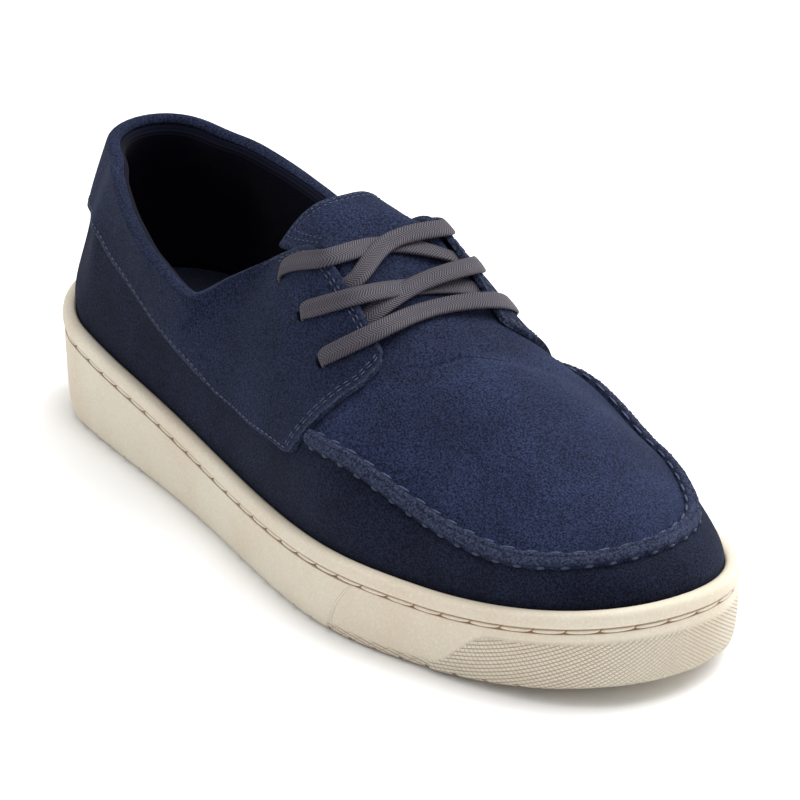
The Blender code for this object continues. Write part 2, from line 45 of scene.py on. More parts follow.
# The last, in millimetres: x from the heel back to the toe, y to the inner side, z up
last = {
    "length": 300.0,
    "heelRound": (36.0, 2.15), "toeRound": (58.0, 2.15),
    "springStart": 225.0, "springHeight": 7.4,
    "lipInset": 4.35, "lipBand": 4.4, "grooveHeight": 2.0, "grooveDepth": 1.1,
    "upperWall": 2.0, "panelFace": 2.1, "panelWall": 1.8,
    "ridgeStart": 224.0, "seamLevel": 0.5,
    "shoulderRound": (34.0, 2.1), "shoulderToe": (48.0, 2.2), "topRound": (33.3, 2.03),
    # x, centre, half width, height of the lip
    "sole": ((0, 2.8, 34.2, 39.4), (40, 0.5, 38.7, 33.6), (90, -4.8, 37.7, 29.0),
             (130, -8.0, 39.0, 26.0), (175, -2.9, 51.0, 25.5), (215, 0.3, 54.9, 25.7),
             (255, 3.1, 47.3, 25.8), (300, 4.7, 44.2, 30.9)),
    # x, floor in the cup, thickness of the footbed
    "bed": ((0, 28.0, 7.0), (60, 25.0, 6.0), (140, 15.0, 5.0), (210, 12.0, 4.5),
            (260, 13.0, 4.0), (300, 19.0, 4.0)),
    # foot, x, centre, half, z of the shoulder line, which is the sewn seam in front
    "shoulder": ((0, 7.5, 1.2, 31.5, 59.5), (18, 23.6, 2.6, 29.6, 59.3), (40, 43, 0.5, 33.0, 59.0),
                 (62, 62, -1.0, 33.0, 58.0), (92, 92, -3.5, 33.0, 50.0), (130, 130, -6.0, 34.0, 46.0),
                 (165, 164, -3.0, 41.0, 50.5), (200, 198, -1.0, 45.8, 51.0),
                 (240, 235, 2.8, 41.5, 41.5), (275, 266, 1.2, 38.3, 39.2),
                 (300, 285, 0.8, 38.0, 40.5)),
    # foot, x, centre, half, z of the collar, the throat and the ridge before it
    "top": ((0, 17.4, 1.4, 24.4, 90.6), (18, 33.8, 0.2, 21.8, 88.6), (40, 46, 0.0, 25.4, 86.2),
            (60, 66, -0.4, 32.4, 79.9), (78, 85, -1.2, 35.6, 74.5), (101, 108.5, -2.9, 34.6, 69.3),
            (113, 121, -1.9, 28.6, 77.4),
            (130, 138, -0.9, 19.5, 89.0), (146, 153, -0.3, 18.5, 95.5), (172, 172, 0.0, 19.0, 86.0),
            (195, 190, 0.2, 20.0, 72.5), (207, 198, 0.3, 15.0, 70.4), (224, 203, 0.4, 0.0, 72.0),
            (250, 218, 0.5, 0.0, 68.5), (275, 234, 0.7, 0.0, 63.0), (300, 250, 0.8, 0.0, 56.5)),
    # foot, lean in degrees at the cup, under and over the shoulder line, and at the end
    "lean": ((0, 92, 81, 84, 64), (18, 104, 75, 73, 71), (40, 93, 83, 83, 74), (92, 94, 93, 100, 98),
             (130, 92, 80, 80, 58), (165, 93, 66, 62, 38), (200, 95, 58, 50, 22),
             (240, 98, 36, 50, 6), (275, 98, 24, 42, 16), (300, 98, 20, 29, 22)),
}


def calmCurve(rows, column):
    # goes through the rows of a table and never swings past them
    xs = np.array([row[0] for row in rows], float)
    ys = np.array([row[column] for row in rows], float)
    step = np.diff(xs)
    slope = np.diff(ys) / step
    tangent = np.concatenate((slope[:1], np.zeros(len(xs) - 2), slope[-1:]))
    for i in range(1, len(xs) - 1):
        if slope[i - 1] * slope[i] > 0:
            before = 2 * step[i] + step[i - 1]
            after = step[i] + 2 * step[i - 1]
            tangent[i] = (before + after) / (before / slope[i - 1] + after / slope[i])

    def value(x):
        x = np.clip(x, xs[0], xs[-1])
        i = np.clip(np.searchsorted(xs, x) - 1, 0, len(xs) - 2)
        t = (x - xs[i]) / step[i]
        rise = (1 + 2 * t) * (1 - t) ** 2 * ys[i] + t * (1 - t) ** 2 * step[i] * tangent[i]
        return rise + t * t * (3 - 2 * t) * ys[i + 1] + t * t * (t - 1) * step[i] * tangent[i + 1]
    return value


def softCurve(xs, ys):
    # natural cubic through a few places
    xs = np.array(xs, float)
    ys = np.array(ys, float)
    step = np.diff(xs)
    count = len(xs)
    matrix = np.eye(count)
    right = np.zeros(count)
    for i in range(1, count - 1):
        matrix[i, i - 1:i + 2] = step[i - 1], 2 * (step[i - 1] + step[i]), step[i]
        right[i] = 6 * ((ys[i + 1] - ys[i]) / step[i] - (ys[i] - ys[i - 1]) / step[i - 1])
    bend = np.linalg.solve(matrix, right)

    def value(x):
        i = np.clip(np.searchsorted(xs, x) - 1, 0, count - 2)
        a = x - xs[i]
        b = xs[i + 1] - x
        h = step[i]
        cubic = (bend[i] * b ** 3 + bend[i + 1] * a ** 3) / (6 * h)
        return cubic + (ys[i] / h - bend[i] * h / 6) * b + (ys[i + 1] / h - bend[i + 1] * h / 6) * a
    return value


def smooth(x, low, high):
    t = np.clip((x - low) / (high - low), 0.0, 1.0)
    return t * t * (3 - 2 * t)


def unit(v):
    return v / np.maximum(np.linalg.norm(v, axis=-1, keepdims=True), 1e-9)


def lengths(points, power=1.0):
    # how far along a line each of its points lies
    return np.concatenate(([0.0], np.cumsum(np.linalg.norm(np.diff(points, axis=0), axis=1) ** power)))


soleXs = [row[0] for row in last["sole"]]
soleCentre, soleHalf, soleRim = (softCurve(soleXs, [row[i] for row in last["sole"]]) for i in (1, 2, 3))
bedFloor, bedThick = (calmCurve(last["bed"], i) for i in (1, 2))
shoulderX, shoulderCentre, shoulderHalf, shoulderZ = (calmCurve(last["shoulder"], i) for i in (1, 2, 3, 4))
topX, topCentre, topHalf, topZ = (calmCurve(last["top"], i) for i in (1, 2, 3, 4))
leanLow, leanUnder, leanOver, leanEnd = (calmCurve(last["lean"], i) for i in (1, 2, 3, 4))


def rounding(distance, reach, power):
    share = 1 - (1 - np.clip(distance, 0, reach) / reach) ** power
    return np.clip(share, 0, 1) ** (1 / power)


def footOf(turn):
    return last["length"] * 0.5 * (1 - np.cos(2 * np.pi * turn))


def turnOf(foot, side):
    half = np.arccos(1 - 2 * np.asarray(foot, float) / last["length"]) / (2 * np.pi)
    return half if side < 0 else 1 - half


def sideOf(turn):
    return np.where(np.mod(turn, 1.0) <= 0.5, -1.0, 1.0)


def soleEdge(turn):
    x = footOf(turn)
    share = rounding(x, *last["heelRound"]) * rounding(last["length"] - x, *last["toeRound"])
    return np.stack((x, soleCentre(x) + sideOf(turn) * soleHalf(x) * share), axis=-1)


def inwards(turn):
    small = 0.0005
    along = unit(soleEdge(turn + small) - soleEdge(turn - small))
    return np.stack((-along[..., 1], along[..., 0], np.zeros_like(along[..., 0])), axis=-1)


def levelPoint(turn, inset, z):
    # a place round the shoe, set in from the sole's outline
    turn, inset, z = np.broadcast_arrays(np.asarray(turn, float), inset, z)
    edge = soleEdge(turn)
    flat = np.stack((edge[..., 0], edge[..., 1], z), axis=-1)
    return flat + inwards(turn) * inset[..., None]


def spring(x):
    start = last["springStart"]
    return last["springHeight"] * np.clip((x - start) / (last["length"] - start), 0, None) ** 2


def shoulderPoint(turn):
    foot = footOf(turn)
    x = shoulderX(foot)
    share = rounding(x - last["shoulder"][0][1], *last["shoulderRound"])
    share = share * rounding(last["shoulder"][-1][1] - x, *last["shoulderToe"])
    y = shoulderCentre(foot) + sideOf(turn) * shoulderHalf(foot) * share
    return np.stack((x, y, shoulderZ(foot)), axis=-1)


def topPoint(turn):
    foot = footOf(turn)
    x = topX(foot)
    share = rounding(x - last["top"][0][1], *last["topRound"])
    half = np.where(foot < last["ridgeStart"], topHalf(foot), 0.0)
    return np.stack((x, topCentre(foot) + sideOf(turn) * half * share, topZ(foot)), axis=-1)


def bentLine(a, b, startWay, endWay, t):
    reach = np.linalg.norm(b - a, axis=-1, keepdims=True)
    t = t[..., None]
    line = (2 * t ** 3 - 3 * t ** 2 + 1) * a + (t ** 3 - 2 * t ** 2 + t) * reach * startWay
    return line + (-2 * t ** 3 + 3 * t ** 2) * b + (t ** 3 - t ** 2) * reach * endWay


def leaning(flat, degrees):
    angle = np.radians(degrees)[..., None]
    return flat * np.cos(angle) + np.array([0.0, 0.0, 1.0]) * np.sin(angle)


def upperPoint(turn, level):
    # outer face of the upper: level 0 at the cup, 0.5 on the shoulder, 1 at the free edge
    turn, level = np.broadcast_arrays(np.asarray(turn, float), np.asarray(level, float))
    foot = footOf(turn)
    low = levelPoint(turn, last["lipInset"] + gap, soleRim(foot) - 0.5)
    mid = shoulderPoint(turn)
    top = topPoint(turn)
    across = inwards(turn)
    flat = np.array([1.0, 1.0, 0.0])
    inner = unit((top - mid) * flat)
    blend = smooth(foot, 150.0, 210.0)[..., None]
    toward = unit(across * (1 - blend) + inner * blend)
    half = last["seamLevel"]
    lower = bentLine(low, mid, leaning(across, leanLow(foot)), leaning(toward, leanUnder(foot)),
                     np.clip(level / half, 0, 1))
    upper = bentLine(mid, top, leaning(toward, leanOver(foot)), leaning(inner, leanEnd(foot)),
                     np.clip((level - half) / (1 - half), 0, 1))
    return np.where((level <= half)[..., None], lower, upper)


def upperNormal(turn, level):
    small = 0.002
    level = np.clip(level, small, 0.97)
    along = upperPoint(turn + small, level) - upperPoint(turn - small, level)
    up = upperPoint(turn, level + small) - upperPoint(turn, level - small)
    return unit(np.cross(along, up))


def overUpper(turn, level, height):
    normal = upperNormal(turn, level)
    return upperPoint(turn, level) + normal * np.asarray(height, float)[..., None]


def levelReach(turn, level):
    # millimetres of wall for one unit of level
    small = 0.01
    return np.linalg.norm(upperPoint(turn, level + small) - upperPoint(turn, level), axis=-1) / small


rim = soleEdge(np.linspace(0, 1, 841))
origin = np.array([last["length"] / 2, (rim[:, 1].min() + rim[:, 1].max()) / 2, 0.0])


# Shader maths written as sums: a wire is one output socket
class Wire:
    def __init__(self, finish, socket):
        self.finish = finish
        self.socket = socket

    def sum(self, operation, first, second):
        return self.finish.node("ShaderNodeMath", {"operation": operation}, {0: first, 1: second})

    def __add__(self, other):
        return self.sum("ADD", self, other)

    def __radd__(self, other):
        return self.sum("ADD", other, self)

    def __sub__(self, other):
        return self.sum("SUBTRACT", self, other)

    def __rsub__(self, other):
        return self.sum("SUBTRACT", other, self)

    def __mul__(self, other):
        return self.sum("MULTIPLY", self, other)

    def __rmul__(self, other):
        return self.sum("MULTIPLY", other, self)

    def __truediv__(self, other):
        return self.sum("DIVIDE", self, other)


class Finish:
    def __init__(self, name):
        self.material = bpy.data.materials.new(name)
        self.material.use_nodes = True
        self.tree = self.material.node_tree
        self.shader = self.tree.nodes["Principled BSDF"]

    def node(self, kind, settings=None, values=None, out=0):
        made = self.tree.nodes.new(kind)
        for key, value in (settings or {}).items():
            setattr(made, key, value)
        for key, value in (values or {}).items():
            if isinstance(value, Wire):
                self.tree.links.new(value.socket, made.inputs[key])
            else:
                made.inputs[key].default_value = value
        return Wire(self, made.outputs[out])

    def place(self):
        return self.node("ShaderNodeTexCoord", out="Object")

    def mark(self, name):
        return self.node("ShaderNodeAttribute", {"attribute_name": name}, out="Fac")

    def noise(self, size, detail=2.0, rough=0.5):
        # size is that of one grain, in millimetres
        return self.node("ShaderNodeTexNoise", values={
            "Vector": self.place(), "Scale": 1 / (size * mm), "Detail": detail, "Roughness": rough})

    def part(self, uvName, index):
        # one of the two numbers of a UV map
        uv = self.node("ShaderNodeUVMap", {"uv_map": uvName})
        return self.node("ShaderNodeSeparateXYZ", values={0: uv}, out=index)

    def math(self, operation, first, second=0.0):
        return self.node("ShaderNodeMath", {"operation": operation}, {0: first, 1: second})

    def mix(self, amount, first, second):
        return self.node("ShaderNodeMix", {"data_type": "RGBA"}, {0: amount, 6: first, 7: second}, 2)

    def steps(self, value, low, high, start=0.0, end=1.0):
        return self.node("ShaderNodeMapRange", {"interpolation_type": "SMOOTHSTEP"}, {
            "Value": value, "From Min": low, "From Max": high, "To Min": start, "To Max": end})

    def bump(self, height, depth):
        return self.node("ShaderNodeBump", values={"Height": height, "Distance": depth * mm, "Strength": 1.0})

    def set(self, **values):
        names = {"colour": "Base Color", "rough": "Roughness", "normal": "Normal",
                 "sheen": "Sheen Weight", "sheenRough": "Sheen Roughness", "sheenTint": "Sheen Tint",
                 "shine": "Specular IOR Level"}
        for key, value in values.items():
            socket = self.shader.inputs[names[key]]
            if isinstance(value, Wire):
                self.tree.links.new(value.socket, socket)
            else:
                socket.default_value = value
        return self.material


def rgb(tone, share=1.0):
    return (*[part * share for part in tone], 1.0)


suede = {
    "plug": (0.0125, 0.0175, 0.0425), "guard": (0.0066, 0.0086, 0.0195), "panel": (0.0094, 0.0128, 0.0308),
    "ridge": (0.0092, 0.0120, 0.0290), "tongue": (0.0122, 0.0165, 0.0385),
    "grain": 0.62, "patch": 26.0, "dark": 0.28, "light": 2.1, "brushed": 0.16, "nap": 0.25, "rough": 0.95,
    "cut": (0.052, 0.062, 0.108),
}


def suedeFinish(name, base, edge=None):
    # napped leather: soft brushed patches under fine flecks, lighter where it is cut
    made = Finish(name)
    patches = made.steps(made.noise(suede["patch"], 3.0, 0.55), 0.35, 0.65)
    grains = made.noise(suede["grain"], 4.0, 0.85)
    flecks = made.steps(grains, 0.40, 0.62)
    brushed = suede["brushed"]
    low, high = (made.mix(patches, rgb(base, share * (1 - brushed)), rgb(base, share * (1 + brushed)))
                 for share in (suede["dark"], suede["light"]))
    tone = made.mix(flecks, low, high)
    if edge:
        cut = made.mark(edge)
        fluff = made.steps(made.noise(0.8, 4.0, 0.85), 0.44, 0.60)
        tone = made.mix(cut * (0.05 + fluff * 0.85), tone, rgb(suede["cut"]))
    return made.set(colour=tone, rough=suede["rough"], normal=made.bump(grains, suede["nap"]), shine=0.08,
                    sheen=0.04, sheenRough=0.5, sheenTint=rgb((0.50, 0.60, 0.85)))


cloth = {"ribPitch": 0.95, "dark": (0.0012, 0.0013, 0.0045), "light": (0.0036, 0.0036, 0.0135),
         "weave": 1.1, "bedDark": (0.003, 0.005, 0.016), "bedLight": (0.009, 0.014, 0.042)}


def liningFinish():
    # ribbed cloth, the ribs run round the collar
    made = Finish("navy_lining")
    ribs = made.math("SINE", made.part("cloth", 1) * (2 * math.pi / cloth["ribPitch"]))
    fibre = made.noise(0.5, 3.0, 0.7)
    tone = made.mix(made.steps(ribs, -1, 1) * 0.6 + fibre * 0.4, rgb(cloth["dark"]), rgb(cloth["light"]))
    return made.set(colour=tone, rough=0.9, shine=0.1, sheen=0.02, sheenRough=0.4,
                    normal=made.bump(ribs * 0.5 + fibre * 0.5, 0.15))


def footbedFinish():
    made = Finish("navy_footbed")
    weave = made.node("ShaderNodeTexVoronoi", values={
        "Vector": made.place(), "Scale": 1 / (cloth["weave"] * mm)})
    fibre = made.noise(0.6, 3.0, 0.7)
    tone = made.mix(fibre * 0.7 + weave * 0.4, rgb(cloth["bedDark"]), rgb(cloth["bedLight"]))
    return made.set(colour=tone, rough=0.9, normal=made.bump(fibre + weave, 0.25))


lacing = {"width": 6.0, "thick": 1.5, "strand": 0.85, "columns": 3.0, "lean": 1.6,
          "dark": (0.010, 0.009, 0.015), "light": (0.060, 0.050, 0.070)}


def laceFinish():
    # flat waxed braid: strands lean one way and then the other across the width
    made = Finish("waxed_lace")
    fold = made.math("PINGPONG", made.part("braid", 1) * lacing["columns"], 1.0)
    phase = made.part("braid", 0) / lacing["strand"] + fold * lacing["lean"]
    ribs = made.steps(made.math("SINE", phase * (2 * math.pi)), -0.9, 0.6)
    fuzz = made.noise(0.35, 2.0, 0.7)
    tone = made.mix(ribs * 0.75 + fuzz * 0.3, rgb(lacing["dark"]), rgb(lacing["light"]))
    return made.set(colour=tone, rough=made.steps(ribs, 0, 1, 0.75, 0.5), shine=0.4,
                    normal=made.bump(ribs * 0.8 + fuzz * 0.25, 0.28))


threads = {
    "blue": ((0.009, 0.018, 0.048), (0.036, 0.062, 0.135)),
    "navy": ((0.016, 0.021, 0.042), (0.062, 0.076, 0.125)),
    "dark": ((0.006, 0.010, 0.026), (0.020, 0.032, 0.075)),
}


def threadFinish(name):
    made = Finish("thread_" + name)
    dark, light = threads[name]
    twist = made.noise(0.5, 2.0, 0.6)
    return made.set(colour=made.mix(made.steps(twist, 0.35, 0.65), rgb(dark), rgb(light)),
                    rough=0.6, normal=made.bump(twist, 0.12))


# line is brown painted shade for the crevices and peach is painted shade round the links; pale lightens the
# grain and also paints the highlight along the step
rubber = {"cream": (0.635, 0.585, 0.480), "warm": (0.600, 0.525, 0.415), "speck": (0.52, 0.44, 0.33),
          "pale": (0.77, 0.72, 0.62), "line": (0.25, 0.145, 0.075), "peach": (0.56, 0.40, 0.27),
          "tread": (0.46, 0.32, 0.21)}

# Lines on the side of the sole, in millimetres ahead of the bumper's start and over the floor
treadLines = {
    "pitch": 1.25, "sweep": (0.10, 0.0042),              # swept lines: slope, how it grows
    "crossPitch": 1.9, "crossLean": (0.25, 0.007),
    "shinglePitch": 1.2, "shingleFall": 0.16, "shingleLong": 5.2, "shingleLean": 0.35,
    # the step places a pale line of painted highlight along the step's edge
    "toothPitch": 1.2, "step": (-39.18, 0.0797, 0.0256), # step: where at the floor, lean, bend
}


def rubberFinish():
    # moulded rubber, with brown painted shade in the crevices and peach painted shade round the links, a pale
    # painted highlight along the step, and fine lines on the bumper and the foot strip
    made = Finish("cream_rubber")
    cloud = made.steps(made.noise(30.0, 2.0, 0.5), 0.3, 0.7)
    grain = made.noise(0.8, 3.0, 0.7)
    ahead, height = made.part("wall", 0), made.part("wall", 1)

    def lines(position, width):
        return made.steps(made.math("PINGPONG", position, 0.5), 0.0, width, 1.0, 0.0)

    # on the bumper one set of lines sweeps up to the toe and the other falls across it
    slope, growth = treadLines["sweep"]
    swept = lines((height - ahead * slope - ahead * ahead * growth) / treadLines["pitch"], 0.17)
    lean, growth = treadLines["crossLean"]
    falling = lines(ahead / treadLines["crossPitch"] + height * (lean + ahead * growth), 0.13)
    grid = made.math("MAXIMUM", swept, falling * 0.75)
    # on the foot strip they are long slanting shingles
    edges = lines((height + ahead * treadLines["shingleFall"]) / treadLines["shinglePitch"], 0.20)
    ends = lines(ahead / treadLines["shingleLong"] - height * treadLines["shingleLean"], 0.07)
    shingles = made.math("MAXIMUM", edges, ends * 0.7)
    teeth = lines(ahead / treadLines["toothPitch"], 0.22)
    marked = made.mark("tread") * grid + made.mark("strip") * shingles + made.mark("teeth") * teeth * 0.5
    # the pale line along the step is a painted highlight, where the raised edge of the step would catch the
    # light
    start, lean, bend = treadLines["step"]
    fromStep = made.math("ABSOLUTE", ahead - height * lean - height * height * bend - start)
    step = made.steps(fromStep, 0.15, 0.60, 1.0, 0.0) * made.mark("side")
    tone = made.mix(cloud, rgb(rubber["cream"]), rgb(rubber["warm"]))
    # the groove mark paints shade in peach round the rims of the links, and the crevice mark paints shade in
    # brown, the line colour, into the crevices
    for amount, key in ((made.steps(grain, 0.50, 0.72) * 0.35, "speck"),
                        (made.steps(grain, 0.48, 0.30) * 0.35, "pale"),
                        (marked * 0.75, "tread"), (step * 0.35, "pale"),
                        (made.mark("groove"), "peach"), (made.mark("crevice"), "line")):
        tone = made.mix(amount, tone, rgb(rubber[key]))
    relief = made.bump(grain * 0.35 - marked * 0.9 + step * 0.8, 0.35)
    return made.set(colour=tone, rough=made.steps(grain, 0.3, 0.7, 0.55, 0.68), normal=relief, shine=0.3)


# Meshes: a grid is created and its points are moved to their places
def linked(name, data):
    made = bpy.data.objects.new(name, data)
    bpy.context.scene.collection.objects.link(made)
    return made


def pieceOf(name, bm):
    mesh = bpy.data.meshes.new(name)
    bm.to_mesh(mesh)
    bm.free()
    return linked(name, mesh)


def layGrid(name, table, uvName=None, uv=None, marks=None, weld=True, flip=False):
    rows, columns = table.shape[0] - 1, table.shape[1] - 1
    bm = bmesh.new()
    bmesh.ops.create_grid(bm, x_segments=columns, y_segments=rows, size=0.5)
    mesh = bpy.data.meshes.new(name)
    bm.to_mesh(mesh)
    bm.free()
    flat = np.zeros(len(mesh.vertices) * 3)
    mesh.vertices.foreach_get("co", flat)
    flat = flat.reshape(-1, 3)
    i = np.rint((flat[:, 0] + 0.5) * columns).astype(int)
    j = np.rint((flat[:, 1] + 0.5) * rows).astype(int)
    mesh.vertices.foreach_set("co", ((table[j, i] - origin) * mm).ravel())
    for key, values in (marks or {}).items():
        layer = mesh.attributes.new(key, "FLOAT", "POINT")
        layer.data.foreach_set("value", np.broadcast_to(values, table.shape[:2])[j, i].astype(np.float32))
    if uvName:
        corner = np.zeros(len(mesh.loops), int)
        mesh.loops.foreach_get("vertex_index", corner)
        layer = mesh.uv_layers.new(name=uvName)
        both = np.stack([np.broadcast_to(part, table.shape[:2]) for part in uv], axis=-1)
        layer.data.foreach_set("uv", both[j, i][corner].ravel())
    if weld or flip:
        bm = bmesh.new()
        bm.from_mesh(mesh)
        if weld:
            bmesh.ops.remove_doubles(bm, verts=bm.verts, dist=0.00002)
            bmesh.ops.dissolve_degenerate(bm, dist=0.000002, edges=bm.edges)
        if flip:
            bmesh.ops.reverse_faces(bm, faces=bm.faces)
        bm.to_mesh(mesh)
        bm.free()
    return linked(name, mesh)


def joined(name, parts, dist=0.00002):
    # several grids welded into one piece
    bm = bmesh.new()
    for part in parts:
        bm.from_mesh(part.data)
    bmesh.ops.remove_doubles(bm, verts=bm.verts, dist=dist)
    bmesh.ops.dissolve_degenerate(bm, dist=0.000002, edges=bm.edges)
    for part in parts:
        bpy.data.objects.remove(part)
    return pieceOf(name, bm)


def closeHoles(piece):
    bm = bmesh.new()
    bm.from_mesh(piece.data)
    bmesh.ops.holes_fill(bm, edges=[e for e in bm.edges if e.is_boundary], sides=0)
    bmesh.ops.recalc_face_normals(bm, faces=bm.faces)
    bm.to_mesh(piece.data)
    bm.free()


def wallOf(piece, thick):
    wall = piece.modifiers.new("wall", "SOLIDIFY")
    wall.thickness = thick * mm
    wall.offset = -1.0
    wall.use_even_offset = False


def roundOff(piece, width):
    edge = piece.modifiers.new("edge", "BEVEL")
    edge.width = width * mm
    edge.segments = 2
    edge.limit_method = "ANGLE"
    edge.angle_limit = math.radians(50)


def dress(piece, finish, replaces=()):
    piece.data.materials.append(finish)
    piece.data.shade_smooth()
    piece.data.set_sharp_from_angle(angle=math.radians(60))
    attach(piece, "root")
    if replaces:
        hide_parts(*replaces)
    print("made", piece.name, len(piece.data.polygons))
    return piece


class Trail:
    # a line on the shoe with the direction it faces, measured by its length
    def __init__(self, points, normals):
        self.points = np.asarray(points, float)
        self.normals = unit(np.asarray(normals, float))
        self.gone = lengths(self.points)
        self.length = self.gone[-1]
        self.ways = unit(np.gradient(self.points, axis=0))

    def read(self, values, s):
        return np.stack([np.interp(s, self.gone, values[:, k]) for k in range(3)], axis=-1)

    def frame(self, s):
        along = unit(self.read(self.ways, s))
        normal = self.read(self.normals, s)
        side = unit(np.cross(normal, along))
        return self.read(self.points, s), along, side, np.cross(along, side)


def stitches(name, rows, finish, length=2.5, pitch=3.6, width=0.55, slant=0.0):
    # each stitch is a small stretched ball, half sunk
    bm = bmesh.new()
    for trail in rows:
        count = max(int(trail.length / pitch), 1)
        places = (np.arange(count) + 0.5) * trail.length / count
        point, along, side, normal = trail.frame(places)
        for k in range(count):
            way = unit(along[k] + side[k] * slant)
            cross = np.cross(normal[k], way)
            columns = np.stack((way * length / 2, cross * width / 2, normal[k] * width / 2), axis=1) * mm
            turned = Matrix(columns.tolist()).to_4x4()
            turned.translation = Vector(((point[k] - origin) * mm).tolist())
            bmesh.ops.create_uvsphere(bm, u_segments=6, v_segments=5, radius=1.0,
                                      matrix=turned @ Matrix.Rotation(math.pi / 2, 4, "Y"))
    bmesh.ops.recalc_face_normals(bm, faces=bm.faces)
    return dress(pieceOf(name, bm), finish)


# Camera at the photograph's angle, aimed at the one shoe
view = {"azimuth": 53.77, "elevation": 22.72, "roll": 0.44, "from": (1162.58, -679.54, 560.81),
        "lens": 165.5, "sensor": 36.0, "photoWidth": 800, "aimPixel": (285, 426), "closer": 1.19}


def makeCamera():
    a, e, r = (math.radians(view[key]) for key in ("azimuth", "elevation", "roll"))
    back = Vector((math.sin(a) * math.cos(e), -math.cos(a) * math.cos(e), math.sin(e)))
    right = Vector((math.cos(a), math.sin(a), 0.0))
    up = back.cross(right)
    rolled = right * math.cos(r) + up * math.sin(r)
    up = up * math.cos(r) - right * math.sin(r)
    focal = view["lens"] / view["sensor"] * view["photoWidth"]
    dx = (view["aimPixel"][0] - view["photoWidth"] / 2) / focal
    dy = (view["photoWidth"] / 2 - view["aimPixel"][1]) / focal
    back = (back - rolled * dx - up * dy).normalized()
    rolled = (rolled - back * rolled.dot(back)).normalized()
    turned = Matrix((rolled, back.cross(rolled), back)).transposed().to_4x4()
    turned.translation = Vector(((np.array(view["from"]) - origin) * mm).tolist())
    data = bpy.data.cameras.new("camera")
    data.lens = view["lens"] * view["closer"]
    data.sensor_width = view["sensor"]
    data.clip_start = 0.05
    data.clip_end = 50.0
    camera = linked("camera", data)
    camera.matrix_world = turned
    bpy.context.scene.camera = camera


makeCamera()
print("camera ready")

navyPlug = suedeFinish("suede_plug", suede["plug"])
navyTongue = suedeFinish("suede_tongue", suede["tongue"], "cut")
navyGuard = suedeFinish("suede_guard", suede["guard"])
navyPanel = suedeFinish("suede_panel", suede["panel"], "cut")
navyRidge = suedeFinish("suede_ridge", suede["ridge"], "cut")
navyLining = liningFinish()
footbed = footbedFinish()
greyLace = laceFinish()
blueThread, navyThread, darkThread = (threadFinish(name) for name in threads)
creamRubber = rubberFinish()


# Upper: the wall under the panels, and the toe in two leathers
upperPlan = {
    "around": 480, "rows": 92, "plugFrom": 178.0,
    # share of the rows, level
    "levels": ((0.03, 0.0), (0.30, 0.34), (0.45, 0.465), (0.55, 0.535), (0.70, 0.66), (1.0, 1.0)),
    # where the free edge is cut lower, under the flaps
    "cutDown": 0.11, "cutOpens": (148, 156), "cutCloses": (187, 197), "cutFrom": 0.66, "cutReach": 0.34,
    "inCup": 6.0,
}


def makeUpper():
    turn = np.linspace(0, 1, upperPlan["around"] + 1)[None, :]
    share = np.linspace(0, 1, upperPlan["rows"] + 1)
    level = np.interp(share, *np.array(upperPlan["levels"]).T)[:, None]
    foot = footOf(turn[0])
    cut = smooth(foot, *upperPlan["cutOpens"]) * (1 - smooth(foot, *upperPlan["cutCloses"]))
    high = np.clip((level - upperPlan["cutFrom"]) / upperPlan["cutReach"], 0, 1)
    level = level - upperPlan["cutDown"] * cut[None, :] * high
    table = upperPoint(turn, level)
    table[0] = levelPoint(turn[0], last["lipInset"] + gap, bedFloor(foot) + gap)
    table[1] = levelPoint(turn[0], last["lipInset"] + gap, soleRim(foot) - upperPlan["inCup"])
    upper = layGrid("upper_wall", table)
    upper.data.materials.append(navyGuard)
    upper.data.materials.append(navyPlug)
    centres = np.zeros(len(upper.data.polygons) * 3)
    upper.data.polygons.foreach_get("center", centres)
    centres = centres.reshape(-1, 3) / mm + origin
    middle = upperMiddle(centres)
    upper.data.polygons.foreach_set("material_index", middle.astype(np.int32))
    wallOf(upper, last["upperWall"])
    upper.data.shade_smooth()
    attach(upper, "root")
    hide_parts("upper")
    print("made upper_wall", len(middle))


def upperMiddle(places):
    # which faces of the upper lie inside the sewn line of the toe
    line = shoulderPoint(np.linspace(0, 1, 721))
    inside = np.zeros(len(places), bool)
    x, y = places[:, 0], places[:, 1]
    for a, b in zip(line[:-1], line[1:]):
        crosses = (a[1] > y) != (b[1] > y)
        with np.errstate(divide="ignore", invalid="ignore"):
            inside ^= crosses & (x < (b[0] - a[0]) * (y - a[1]) / (b[1] - a[1]) + a[0])
    return inside & (x > upperPlan["plugFrom"])


makeUpper()


# Side panels: flaps with the lace holes, run on as a band that folds over the collar
panelPlan = {
    "band": ((0, 0.585), (22, 0.635), (42, 0.655), (60, 0.61), (85, 0.575), (105, 0.52), (122, 0.49),
             (141, 0.44), (160, 0.39), (184, 0.39)),
    "flap": ((0.39, 183.5), (0.53, 186.5), (0.73, 192.5), (0.85, 196.0), (0.93, 196.0), (0.98, 192.0)),
    "top": 0.985, "seamFoot": 38.0, "seamGap": 0.5, "corner": 3.2, "flapHigh": 36.0, "cutEdge": (0.3, 1.6),
    "foldFrom": 116.0, "foldTo": 130.0, "foldWide": 2.3, "foldTurn": 155.0,
    "foldHigh": ((0, 2.3), (14, 2.2), (40, 0.9), (130, 0.9)),
    "holes": ((177.5, 0.758), (159.9, 0.815), (138.8, 0.884)),
    "holeRadius": 2.2, "columns": 300, "rows": 52, "foldRows": 14,
}
bandLevel = calmCurve(panelPlan["band"], 1)
flapFoot = calmCurve(panelPlan["flap"], 1)
foldHigh = calmCurve(panelPlan["foldHigh"], 1)


